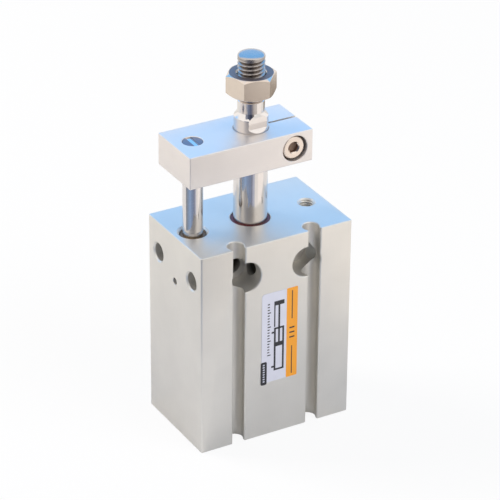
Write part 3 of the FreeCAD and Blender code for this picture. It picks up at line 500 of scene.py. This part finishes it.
# %% [markdown]
# The same finish serves the body and the plate. Deep in the screw holes the metal is the same too, but a
# hole looks dark there because little light gets in. This studio is so white that the holes stay light,
# so a darker colour stands in for that shade. It is a painter's trick, not a second finish. A mask keeps
# it inside the holes, by the distance from their axes, and lets it fade towards their mouths.

# %% Metal of the body and the plate
MOUNT_Z, MOUNT, HOLE = TOP - 10, 10.0, 2.75


def near(axis, centre, outer, inner):
    """A mask: 1 within the inner distance of a place on an axis, 0 past the outer one, in millimetres."""

    def mask(tree):
        place = node(tree, "ShaderNodeSeparateXYZ", links={0: metric_coordinates(tree)}).outputs[axis]
        offset = node(tree, "ShaderNodeMath", {"operation": "SUBTRACT", 1: centre}, {0: place})
        away = node(tree, "ShaderNodeMath", {"operation": "ABSOLUTE"}, {0: offset.outputs[0]})
        span = {"From Min": outer, "From Max": inner}
        return node(tree, "ShaderNodeMapRange", span, {"Value": away.outputs[0]}).outputs[0]

    return mask


def deep_in_bores(tree):
    """A mask: 1 deep in the front screw holes and in the middle of both side holes."""
    place = node(tree, "ShaderNodeSeparateXYZ", links={0: metric_coordinates(tree)})
    unsigned = {"operation": "ABSOLUTE"}
    x, y = (node(tree, "ShaderNodeMath", unsigned, {0: place.outputs[k]}).outputs[0] for k in "XY")
    parts = []
    for across, deep in ((x, near("Y", FRONT + 17, 8.5, 5.5)), (y, near("X", 0.0, 5.4, 4.0))):
        flat = node(tree, "ShaderNodeCombineXYZ", links={"X": across, "Y": place.outputs["Z"]})
        centre = {"operation": "DISTANCE", 1: (MOUNT, MOUNT_Z, 0.0)}
        away = node(tree, "ShaderNodeVectorMath", centre, {0: flat.outputs[0]})
        limit = {"operation": "LESS_THAN", 1: HOLE + 0.15}
        inside = node(tree, "ShaderNodeMath", limit, {0: away.outputs["Value"]})
        both = {0: inside.outputs[0], 1: deep(tree)}
        parts.append(node(tree, "ShaderNodeMath", {"operation": "MULTIPLY"}, both).outputs[0])
    return node(tree, "ShaderNodeMath", {"operation": "MAXIMUM"}, {0: parts[0], 1: parts[1]}).outputs[0]


UP, ACROSS = (1, 1, 0.02), (0.05, 1, 1)
body_metal = anodised("anodised aluminium, extruded", "#DFDCD5", UP, 0.45, deep_in_bores, "#726C60")
plate_metal = anodised("anodised aluminium, milled", "#EAE4DF", ACROSS, 0.45)
print("metals:", body_metal.name, "and", plate_metal.name)

# %% [markdown]
# Two grooves for switches run down the front of the body. Screws, air and the two rods need holes of four
# kinds: drilled through, tapped, and the two stepped bores. Each is a closed shape to be cut out, and its
# mouth opens a little, which leaves the bright rim that a countersink leaves. The grooves are outlines
# carried up the body, everything else is turned. A picked face could be pushed in by hand instead, but a
# cutter can be moved and checked by its numbers. A cutter starts a little outside the face it goes
# through, because two faces in one plane make a Boolean unsure which of them to keep.

# %% Cutters for the body
OUT = 1.0


def groove_cutter(name, x, grow_steps):
    """A groove's outline carried up the body: a 4 mm mouth between lips, then a round cavity of 5 mm."""
    half, radius, lip, bevel = 2.0, 2.5, 0.95, 0.25
    rings = []
    for z, grow in grow_steps:
        h, r = half + grow, radius + grow
        centre = FRONT + lip + np.sqrt(radius**2 - half**2)
        start = np.arcsin(h / r)
        sweep = np.linspace(start, 2 * np.pi - start, 40)
        arc = np.column_stack([r * np.sin(sweep), centre - r * np.cos(sweep)])
        wide = h + bevel + OUT
        mouth_in = np.array([[-h, FRONT + bevel], [-wide, FRONT - OUT]])
        mouth_out = np.array([[wide, FRONT - OUT], [h, FRONT + bevel]])
        outline = np.concatenate([mouth_out, arc, mouth_in])
        rings.append(np.column_stack([outline[:, 0] + x, outline[:, 1], np.full(len(outline), z)]))
    return solid(name, rings)


def drill_cutter(name, radius, start, end, axis, centre, flare, both=False):
    """A straight hole from start to end along an axis; its mouth at start opens by the flare."""
    way = np.sign(end - start)
    rows = [(radius + flare + OUT, start - way * OUT), (radius, start + way * flare)]
    if both:
        rows += [(radius, end - way * flare), (radius + flare + OUT, end + way * OUT)]
    else:
        rows += [(radius, end)]
    return turned(name, rows, axis, centre, columns=72)


M5_PITCH, M5_CREST, M5_ROOT = 0.8, 2.1, 2.48


def tapped_cutter(name, start, depth, axis, centre, way, mouth=2.75):
    """A tapped hole: the larger of the thread's radius and a 45 degree countersink's, then a drill tip."""
    along = np.concatenate([[-OUT], np.arange(0, depth + 1e-6, M5_PITCH / 12)])[:, None]
    angle = np.linspace(0, 2 * np.pi, 64, endpoint=False)[None, :]
    run_out = np.clip((depth - along) / M5_PITCH, 0, 1)
    wave = thread_wave(angle * way, along, M5_PITCH)
    radius = np.maximum(M5_CREST + (M5_ROOT - M5_CREST) * (wave + 1) / 2 * run_out, mouth - along)
    rows = around(radius, start + way * along, angle, axis, centre)
    tip_along = start + way * np.array([[depth + 1.5], [depth + 2.6]])
    tip = around(np.array([[M5_CREST], [0.05]]), tip_along, angle, axis, centre)
    return solid(name, np.concatenate([rows, tip]))


def bore_cutter():
    """All that is turned on the main axis, from the cover's seat at the bottom to the seal's mouth."""
    rows = [(14.3, -1), (13.0, 0.3), (13.0, 0.9), (13.6, 0.9), (13.6, 2.2), (13.0, 2.2), (13.0, 7.5)]
    rows += [(12.5, 7.5), (12.5, TOP - 16), (6.0, TOP - 16), (6.0, TOP - 4.5), (7.0, TOP - 4.5)]
    rows += [(7.0, TOP - 1.7), (5.9, TOP - 1.7), (5.9, TOP - 0.2), (6.1, TOP), (7.1, TOP + 1)]
    return turned("main bore", rows, columns=128)


def guide_cutter():
    """The blind bore of the guide rod, wider where its bush sits, with a 45 degree mouth."""
    rows = [(3.5, 14), (3.5, TOP - 13), (4.0, TOP - 13), (4.0, TOP - 0.6), (4.6, TOP), (5.6, TOP + 1)]
    return turned("guide bore", rows, centre=(GUIDE_X, 0, 0), columns=72)


print("a cutter starts", OUT, "mm outside the face it goes through")

# %% [markdown]
# The body is a block 50 by 32 by 65 mm. Near its top two screws can go through it from the front and two
# from the side, a small vent lets air into the guide rod's bore, and the two air ports are at the back.
# Everything is cut in one go. Pockets, grooves and holes run into each other here, and a Boolean finds
# those curved edges by itself, which no other way does as well.

# %% The body
GROOVE_X, GROOVE_BEVEL = 12.5, 0.22
HIGH_PORT, LOW_PORT, PORT_FACE = TOP - 15.5, 9.6, 0.4
left, right_side, rear = body_low[0], body_high[0], body_high[1]
body = rounded_block("body_block", body_low, body_high, 0.5, 0.3)
ends = [(-1, GROOVE_BEVEL), (0, GROOVE_BEVEL), (GROOVE_BEVEL, 0)]
ends += [(TOP - GROOVE_BEVEL, 0), (TOP, GROOVE_BEVEL), (TOP + 1, GROOVE_BEVEL)]
cutters = [groove_cutter("groove", x, ends) for x in (-GROOVE_X, GROOVE_X)]
cutters += [bore_cutter(), guide_cutter()]
for y in (-MOUNT, MOUNT):
    cutters += [drill_cutter("side hole", HOLE, left, right_side, "x", (0, y, MOUNT_Z), 0.45, both=True)]
for x in (-MOUNT, MOUNT):
    cutters += [drill_cutter("front hole", HOLE, rear, FRONT + 5, "y", (x, 0, MOUNT_Z), 0.1)]
for x in (-MOUNT, MOUNT):
    cutters += [drill_cutter("screw pocket", 4.75, FRONT, FRONT + 9, "y", (x, 0, MOUNT_Z), 0.25)]
cutters += [drill_cutter("vent", 1.1, left, GUIDE_X, "x", (0, 0, TOP - 14.8), 0.15)]
for z in (HIGH_PORT, LOW_PORT):
    cutters += [drill_cutter("port face", 4.0, rear, rear - PORT_FACE, "y", (0, 0, z), 0.15)]
    cutters += [tapped_cutter("port", rear - PORT_FACE, 3.6, "y", (0, 0, z), -1, mouth=2.6)]
cutters += [tapped_cutter("rod end tap", TOP, 8, "z", (-GUIDE_X, 0, 0), -1)]
cutters += [tapped_cutter("head end tap", 0, 8, "z", (x, 0, 0), 1) for x in (GUIDE_X, -GUIDE_X)]
finish(carve(body, cutters), "housing", body_metal, ["cylinder_body"])

# %% [markdown]
# The guide plate is a milled bar of the same aluminium. A slit runs from the rod's hole to the far end,
# and a cap screw pulls the slit shut, so the plate grips the rod. The guide rod sits in the other end. It
# is a block with cutters again, and the slit is one more thin block, because a saw cuts it that way.

# %% Guide plate
CLAMP = (9.2, 0, (plate_low[2] + plate_high[2]) / 2)
base, ceiling = plate_low[2], plate_high[2]
plate = rounded_block("plate_block", plate_low, plate_high, 0.25, 0.25)
cutters = [
    drill_cutter("rod hole", 5.02, base, ceiling, "z", (0, 0, 0), 0.3, both=True),
    drill_cutter("guide hole", 3.02, base, ceiling, "z", (GUIDE_X, 0, 0), 0.15, both=True),
    drill_cutter("screw hole", 2.25, plate_low[1] + 1, 0.4, "y", CLAMP, 0.2),
    drill_cutter("screw thread", 2.02, plate_high[1], 0.0, "y", CLAMP, 0.4),
    drill_cutter("head pocket", 4.0, plate_low[1], plate_low[1] + 4.5, "y", CLAMP, 0.15),
    rounded_block("slit", (2, -0.4, base - 2), (plate_high[0] + 2, 0.4, ceiling + 2), 0.1, 0.1),
]
finish(carve(plate, cutters), "rod", plate_metal, ["guide_plate"])

# %% [markdown]
# The rods are ground steel with hard chrome on top, polished almost to a mirror. A mirror has little
# colour of its own, so the finish is a bright, slightly warm metal with a very small roughness and fine
# rings left by the grinding wheel. One recipe serves chrome, nickel and zinc, because plating differs
# only in colour, shine and how evenly it lies. The thread's roots and the guide rod's end came out
# brighter here than in the photo, so there a mask mixes in a duller colour, which is painted shade, and
# spreads the shine. On the stud the painted shade is strongest in the roots and lies at about half over
# the crests and the dome. Those colours were fitted to the photo under this studio's light, and say
# nothing about the real plating.

# %% Chrome and other steels
def painted_stud_shade(tree):
    """A mask for painted shade, strongest down in a thread's roots and about half over the rest of the
    stud, read from the attribute that the thread's mesh carries.
    """
    depth = node(tree, "ShaderNodeAttribute", {"attribute_name": "root"})
    span = {"From Min": 0.1, "From Max": 0.9, "To Max": 0.9}
    return node(tree, "ShaderNodeMapRange", span, {"Value": depth.outputs["Fac"]}).outputs[0]


def plated(name, colour, roughness, mask=None, masked_colour="#000000", blotch=0.04):
    """Plated steel: fine turning rings up the height, and an uneven sheen in spots 2 mm wide."""
    material, tree = new_material(name)
    spots = lumps(tree, 0.5, 3.0)
    base = toned(tree, colour, spots, 1.0 - blotch, 1.0, mask, masked_colour)
    span = {**MIDDLE, "To Min": roughness * 0.8, "To Max": roughness * 1.2}
    rough = node(tree, "ShaderNodeMapRange", span, {"Value": spots}).outputs[0]
    if mask:
        duller = {"operation": "MULTIPLY_ADD", 1: 0.35}
        rough = node(tree, "ShaderNodeMath", duller, {0: mask(tree), 2: rough}).outputs[0]
    rings = lumps(tree, 6.0, 2.0, (0.02, 0.02, 1))
    shaded(tree, {"Metallic": 1.0}, {"Base Color": base, "Roughness": rough}, rings, 0.1, 0.004)
    return material


# The duller colour #5E4E42 on the stud is painted shade.
chrome = plated("hard chrome plating, ground", "#E3DFDC", 0.12, painted_stud_shade, "#5E4E42")
# The duller colour #908E98 on the guide rod's end face is painted shade.
guide_end_shade = near("Z", guide_high[2] + 2, 2.4, 2.3)
guide_steel = plated("bearing steel, ground", "#E0DDDC", 0.14, guide_end_shade, "#908E98")
print("steels:", chrome.name, "and", guide_steel.name)

# %% [markdown]
# The piston rod is one turned surface: a radius for every height and angle. Up to the shoulder it is a
# plain 10 mm rod, then a cone leads to an 8 mm stud. On the stud the radius also follows a thread, a
# triangle wave that climbs 1.25 mm each turn, and the two wrench flats are cut out afterwards. Bump alone
# could fake the thread, but its outline would stay straight. Rows close together at each edge hold the
# smooth shading flat on the long straight parts, and so keep mirrored stripes upright.

# %% Piston rod
ROD, STUD, NECK, SPIGOT, SPIGOT_TOP = 5.0, 3.98, 3.5, 3.0, 35.8
PITCH, THREAD_DEPTH, DOME = 1.25, 0.68, 0.9
ABOVE, NUT, TIP = plate_high[2], nut_low[2], rod_high[2]


def stud_rows():
    """Rows of (radius, height, share of thread depth) from the piston end to the tip of the stud."""
    plain = [(2.4, rod_low[2]), (SPIGOT, rod_low[2] + 0.6), (SPIGOT, SPIGOT_TOP), (ROD, SPIGOT_TOP)]
    plain += [(ROD, ABOVE + 3.8), (ROD, ABOVE + 3.95), (4.97, ABOVE + 4.06), (4.86, ABOVE + 4.16)]
    plain += [(4.04, ABOVE + 5.5), (STUD, ABOVE + 5.7), (STUD, ABOVE + 5.8), (STUD, NUT - 1.9)]
    plain += [(3.9, NUT - 1.8), (NECK, NUT - 1.5), (NECK, NUT - 0.2), (STUD, NUT + 0.4)]
    rows = [(radius, z, 0.0) for radius, z in plain]
    start, end = NUT + 0.5, TIP - 1.1
    z = np.arange(start, end, PITCH / 14)
    depth = np.clip((z - start) / PITCH, 0, 1) * np.clip((end - z) / 0.9, 0, 1)
    rows += np.column_stack([np.full(len(z), STUD), z, depth]).tolist()
    bend = np.linspace(0, 0.97 * np.pi / 2, 14)
    radius = (STUD - 0.02) * np.cos(bend) ** 0.5
    rows += np.column_stack([radius, TIP - DOME + DOME * np.sin(bend), 0 * bend]).tolist()
    return np.array(rows)


def piston_rod():
    """Radius = plain radius - share x depth x (1 - thread wave) / 2, round the main axis."""
    rows = stud_rows()
    angle = np.linspace(0, 2 * np.pi, 96, endpoint=False)[None, :]
    wave = thread_wave(angle, rows[:, 1:2], PITCH)
    radius = rows[:, :1] - rows[:, 2:] * THREAD_DEPTH * (1 - wave) / 2
    return solid("polished_rod", around(radius, rows[:, 1:2], angle))


def flat_cutter(side):
    """A bar that takes a wrench flat off one side: a 45 degree ramp, then 4 mm from the axis."""
    low, high = ABOVE + 1.2, ABOVE + 6.0
    outline = np.array([[4.0, low], [6.0, low - 2.0], [6.0, high], [4.0, high]]) * [side, 1]
    rings = [np.column_stack([np.full(4, x), outline]) for x in (-6.0, 6.0)]
    return solid("wrench flat", rings)


def mark_stud_shade(piece):
    """Stores the share of painted shade: (plain radius - radius) / thread depth, 0.55 to 1, above the nut's
    foot; 0.45 on the dome.
    """
    points = np.empty(len(piece.data.vertices) * 3)
    piece.data.vertices.foreach_get("co", points)
    x, y, z = points.reshape(-1, 3).T
    depth = np.clip((STUD - np.hypot(x, y)) / THREAD_DEPTH, 0.55, 1) * (z > NUT)
    depth[z > TIP - 0.7] = 0.45
    piece.data.attributes.new("root", "FLOAT", "POINT").data.foreach_set("value", depth)


rod = carve(piston_rod(), [flat_cutter(1), flat_cutter(-1)])
mark_stud_shade(rod)
finish(rod, "rod", chrome, ["piston_rod"], smooth=28)

# %% [markdown]
# The guide rod is a plain ground pin, flush with the plate's top, with a driver slot across its end. Its
# rounded rim is part of the profile, and the slot is cut by a thin block. A cylinder with a Bevel modifier
# would look the same, but the lathe helper is there already and gives its numbers in millimetres.

# %% Guide rod
def slot_cutter():
    """A 1.7 mm driver slot, 0.35 mm deep, across the top of the guide rod."""
    half, z = 0.85, guide_high[2]
    return rounded_block("slot", (GUIDE_X - half, -4, z - 0.41), (GUIDE_X + half, 4, z + 1), 0.05, 0.05)


low, high = guide_low[2], guide_high[2] - 0.06
rows = [(2.4, low), (3.0, low + 0.6), (3.0, low + 0.7)]
rows += [(3.0, high - 0.35), (3.0, high - 0.25), (2.93, high - 0.08), (2.8, high)]
guide = turned("guide_pin", rows, centre=(GUIDE_X, 0, 0))
finish(carve(guide, [slot_cutter()]), "rod", guide_steel, ["guide_rod"])

# %% [markdown]
# A nut is a hexagonal prism whose corners were turned off by a 30 degree cone. It could be a six-sided
# cylinder cut by a cone. Worked out in polar form it needs no cut: each direction has a wall at
# flats / 2 / cos(angle from the flat's middle), and the cone's height there gives the curved edge that
# every real nut shows on each face. Nickel plating makes it warm and satin, not a mirror. The upper face
# takes a duller colour, a painted shade, only because it came out too bright in this studio.

# %% Rod end nut
def hexagon_radius(angle, flats, turned_by):
    """Distance from the middle to the wall of a hexagon, in every direction."""
    sixth = np.pi / 3
    inside = (angle - turned_by + sixth / 2) % sixth - sixth / 2
    return flats / 2 / np.cos(inside)


def hex_nut(name, flats, bottom, top, hole, turned_by):
    """Rings up the outside, over the cone to the top face, down the hole and back underneath."""
    angle = np.linspace(0, 2 * np.pi, 144, endpoint=False) + np.radians(turned_by)
    wall = hexagon_radius(angle, flats, np.radians(turned_by))
    rim, mouth, soft = flats / 2 * 0.96, 0.55, 0.06
    drop = (wall - rim) * np.tan(np.radians(30))
    rows = [
        (rim, bottom),
        (wall - soft, bottom + drop - soft / 2),
        (wall, bottom + drop + soft),
        (wall, top - drop - soft),
        (wall - soft, top - drop + soft / 2),
        (rim, top),
        (hole + mouth, top),
        (hole, top - mouth),
        (hole, bottom + mouth),
        (hole + mouth, bottom),
    ]
    return ring_shape(name, [around(radius, z, angle) for radius, z in rows])


# The duller colour #8E8586 on the nut's upper face is painted shade.
nut_top_shade = near("Z", nut_high[2] + 2, 2.12, 2.06)
nickel = plated("nickel plated steel", "#DFD2C5", 0.22, nut_top_shade, "#8E8586", 0.06)
nut = hex_nut("hex_nut", 13.0, NUT, nut_high[2], 4.02, 15)
finish(nut, "rod", nickel, ["rod_end_nut"], smooth=30)

# %% [markdown]
# The screw that closes the slit is a socket head cap screw, nickel plated like the nut. Its hexagon
# socket, rolled edge, head and shank are one stack of rings along the Y axis: the first rings follow a
# hexagon, the later ones a circle. That saves a cut and keeps the edge of the socket crisp. A
# little below its face the screw is darker, in the socket and round the head: painted shade, fitted like
# the nut's face.
# little below its face the screw is darker, in the socket and round the head, fitted like the nut's face.

# %% Clamp screw
def cap_screw():
    """Hexagon socket, rolled head edge and shank along the Y axis, in one polar surface."""
    angle = np.linspace(0, 2 * np.pi, 96, endpoint=False)
    key = hexagon_radius(angle, 3.0, 0.0)
    face = plate_low[1] + 0.7
    seat = face + 3.8
    rows = [(0.05, face + 1.9), (key, face + 1.5), (key, face + 0.32), (np.maximum(key, 1.9), face + 0.02)]
    bend = np.linspace(0, np.pi / 2, 6)
    rows += [(3.0 + 0.5 * np.sin(t), face + 0.5 * (1 - np.cos(t))) for t in bend]
    rows += [(3.5, seat - 0.05), (3.45, seat), (2.0, seat), (2.0, seat + 13.5), (1.5, seat + 14)]
    return solid("cap_screw", [around(radius, along, angle, "y", CLAMP) for radius, along in rows])


# Below the head's face, in the socket and round the head, #A08A7C is painted shade.
socket = near("Y", plate_low[1] + 5.0, 3.95, 3.4)
screw_nickel = plated("nickel plated screw steel", "#E8DCD1", 0.25, socket, "#A08A7C", 0.08)
finish(cap_screw(), "rod", screw_nickel, ["clamp_screw"], smooth=30)

# %% [markdown]
# A printed film is stuck to the front. Most people would use a picture for it. Here it is made of real
# layers, which stay sharp at any distance: a rounded film a tenth of a millimetre thick, an orange strip
# and a dark tab laid on it, and the ink as thin bars above them. Polyester film is smooth and a little
# glossy, so its sheen differs from the metal's.

# %% Label film and ink
def label_sheet(name, low, high, corner, under, over):
    """A rounded rectangle in x and z, from one height above the front face to another, rim rolled off."""
    low, high = np.array(low, float), np.array(high, float)
    half, middle = (high - low) / 2, (high + low) / 2
    rings = []
    for shrink, rise in ((0.0, under), (0.0, over - 0.02), (0.02, over)):
        outline = rounded_outline(half[0] - shrink, half[1] - shrink, corner - shrink) + middle
        rings.append(np.column_stack([outline[:, 0], np.full(len(outline), FRONT - rise), outline[:, 1]]))
    return solid(name, rings)


def ink_bars(name, bars, under, over):
    """Many printed bars in one mesh; (low x, low z, high x, high z) becomes one flat box each."""
    x0, z0, x1, z1 = np.array(bars, float).T
    corners = [(x0, z0), (x1, z0), (x1, z1), (x0, z1)]
    back = np.stack([np.column_stack([x, np.full(len(x), FRONT - under), z]) for x, z in corners], 1)
    points = np.concatenate([back, back + (0, under - over, 0)], 1)
    box = np.array([(0, 1, 2, 3), (7, 6, 5, 4), (0, 4, 5, 1), (1, 5, 6, 2), (2, 6, 7, 3), (3, 7, 4, 0)])
    faces = box[None, :, ::-1] + 8 * np.arange(len(x0))[:, None, None]
    return mesh_object(name, points, faces.reshape(-1, 4).tolist())


def printed_film(name, colour, roughness, fade):
    """Printed polyester film: a smooth glossy skin whose ink varies a little in strength every 3 mm."""
    material, tree = new_material(name)
    base = toned(tree, colour, lumps(tree, 1 / 3, 2.0), 1.0 - fade, 1.0)
    grain = lumps(tree, 7.0, 1.0)
    shaded(tree, {"Roughness": roughness, "IOR": 1.5}, {"Base Color": base}, grain, 0.1, 0.01)
    return material


white_film = printed_film("white polyester film", "#D4D4DE", 0.35, 0.03)
orange_ink = printed_film("orange ink on film", "#F2A028", 0.35, 0.04)
black_ink = printed_film("black ink on film", "#26262B", 0.4, 0.1)
pale_ink = printed_film("pale ink on film", "#C4C6D2", 0.4, 0.05)
print("film and inks:", [m.name for m in (white_film, orange_ink, black_ink, pale_ink)])

# %% [markdown]
# The print is generic: the standard drawing of a guided cylinder, with its barrel, piston, rod, plate and
# ports, a scale of ticks and a few rules. Every bar is four numbers in millimetres, and all bars of one
# ink become one mesh, because a mesh for each would only fill the list of pieces.

# %% Label
LABEL_LOW, LABEL_HIGH = (-5.0, 18.0), (7.0, 48.0)
STRIP_LOW, TAB_LOW, TAB_HIGH = (3.3, 18.0), (-5.2, 17.4), (-3.2, 25.2)
FILM, PRINT, UPPER_PRINT = (-0.02, 0.10), (0.08, 0.12), (0.11, 0.135)
LINE, LEFT, RIGHT, BOTTOM, END = 0.6, -0.9, 2.5, 21.5, 36.0
barrel = [(LEFT, BOTTOM, LEFT + LINE, END), (RIGHT - LINE, BOTTOM, RIGHT, END)]
barrel += [(LEFT + LINE, z, RIGHT - LINE, z + LINE) for z in (BOTTOM, END - LINE)]
moving = [(-0.3, 29.6, 1.9, 31.0), (0.5, 31.0, 1.1, 43.4)]
moving += [(LEFT, 43.4, RIGHT, 44.8), (LEFT, 36.3, -0.5, 43.4)]
ports = [(-1.7, z, LEFT, z + LINE) for z in (22.6, 34.2)]
rules = [(5.0, 37.6, 5.3, 47.0), (5.0, 19.0, 5.3, 28.4)]
rules += [(4.3, z, 6.0, z + 0.45) for z in (31.2, 32.8, 34.4)]
ticks = [(-3.1, z, -2.4 if k % 5 else -2.0, z + 0.35) for k, z in enumerate(np.arange(27.0, 45.0, 0.95))]
dashes = [(-4.55, z, -3.95, z + 0.45) for z in np.arange(18.4, 24.2, 0.8)]
for piece, ink in (
    (label_sheet("label_film", LABEL_LOW, LABEL_HIGH, 0.9, *FILM), white_film),
    (label_sheet("label_strip", STRIP_LOW, LABEL_HIGH, 0.3, *PRINT), orange_ink),
    (label_sheet("label_tab", TAB_LOW, TAB_HIGH, 0.5, *PRINT), black_ink),
    (ink_bars("label_symbol", barrel + moving + ports, 0.09, 0.115), black_ink),
    (ink_bars("label_rules", rules, *UPPER_PRINT), black_ink),
    (ink_bars("label_ticks", ticks, 0.09, 0.115), black_ink),
    (ink_bars("label_dashes", dashes, *UPPER_PRINT), pale_ink),
):
    finish(piece, "housing", ink)

# %% [markdown]
# What is left comes straight from the solid model, because a bush, a ring or a seal is already right
# there. Each could be made again here, but that would only copy it. Moulded rubber, sintered bronze and
# pressed resin share one recipe: specks of a real size vary the colour, the sheen and the surface.

# %% Moulded and pressed materials
def moulded(name, colour, roughness, speck):
    """A moulded or pressed material: specks so many millimetres wide vary its colour, sheen and surface."""
    material, tree = new_material(name)
    specks = lumps(tree, 1 / speck, 4.0)
    base = toned(tree, colour, specks, 0.82, 1.1)
    span = {**MIDDLE, "To Min": roughness - 0.08, "To Max": roughness + 0.08}
    rough = node(tree, "ShaderNodeMapRange", span, {"Value": specks}).outputs[0]
    shaded(tree, {"IOR": 1.5}, {"Base Color": base, "Roughness": rough}, specks, 0.3, 0.01)
    return material


bronze = moulded("sintered bronze, oil filled", "#6E5A3C", 0.45, 0.3)
nitrile = moulded("nitrile rubber, moulded", "#1E1E20", 0.45, 0.5)
bumper = moulded("polyurethane bumper, moulded", "#C99A45", 0.4, 1.5)
print("bush, seals and bumpers:", [m.name for m in (bronze, nitrile, bumper)])

# %% [markdown]
# A part from the lathe keeps the rings that the tool left, one feed apart. The head cover is seen from
# below, so its rings show. A Wave texture could draw them, but the sine of the distance from the axis
# says exactly how far apart they are.

# %% Turned metal
FEED = 0.25


def turned_metal(name, colour, roughness):
    """Metal from the lathe: rings round the main axis, one feed of the tool apart, over fine noise."""
    material, tree = new_material(name)
    flat = metric_coordinates(tree, (1, 1, 0))
    away = node(tree, "ShaderNodeVectorMath", {"operation": "LENGTH"}, {0: flat}).outputs["Value"]
    ringed = node(tree, "ShaderNodeMath", {"operation": "MULTIPLY", 1: 2 * np.pi / FEED}, {0: away})
    wave = node(tree, "ShaderNodeMath", {"operation": "SINE"}, {0: ringed.outputs[0]}).outputs[0]
    clouds = lumps(tree, 0.4, 4.0)
    base = toned(tree, colour, clouds, 0.9, 1.03)
    span = {**MIDDLE, "To Min": roughness - 0.05, "To Max": roughness + 0.05}
    rough = node(tree, "ShaderNodeMapRange", span, {"Value": clouds}).outputs[0]
    shaded(tree, {"Metallic": 1.0}, {"Base Color": base, "Roughness": rough}, wave, 0.2, 0.01)
    return material


print("tool rings, mm apart:", FEED)

# %% [markdown]
# Each part of the solid model now gets its finish by name. They could be dressed one at a time, but one
# table shows at a glance that none is forgotten and that parts of one kind share one material.

# %% Dress the parts of the solid model
FINISHES = {
    "rod_bush": bronze,
    "guide_bush": bronze,
    "rod_seal": moulded("fluoro rubber seal, moulded", "#581C22", 0.4, 0.5),
    "rod_side_bumper": bumper,
    "head_side_bumper": bumper,
    "head_cover": turned_metal("anodised aluminium, turned", "#C9C7C4", 0.4),
    "head_cover_o_ring": nitrile,
    "snap_ring": moulded("phosphated spring steel", "#3A3735", 0.4, 0.4),
    "piston": turned_metal("aluminium, turned", "#BDBCBB", 0.35),
    "rod_side_piston_seal": nitrile,
    "head_side_piston_seal": nitrile,
    "piston_o_ring": nitrile,
    "wear_ring": moulded("filled resin band, pressed", "#2E2A27", 0.55, 0.4),
    "piston_nut": plated("zinc plated steel", "#B9BCC4", 0.3, blotch=0.1),
}
for name, material in FINISHES.items():
    for place in nodes[name].material_slots:
        place.material = material
    print(name, "is", material.name)
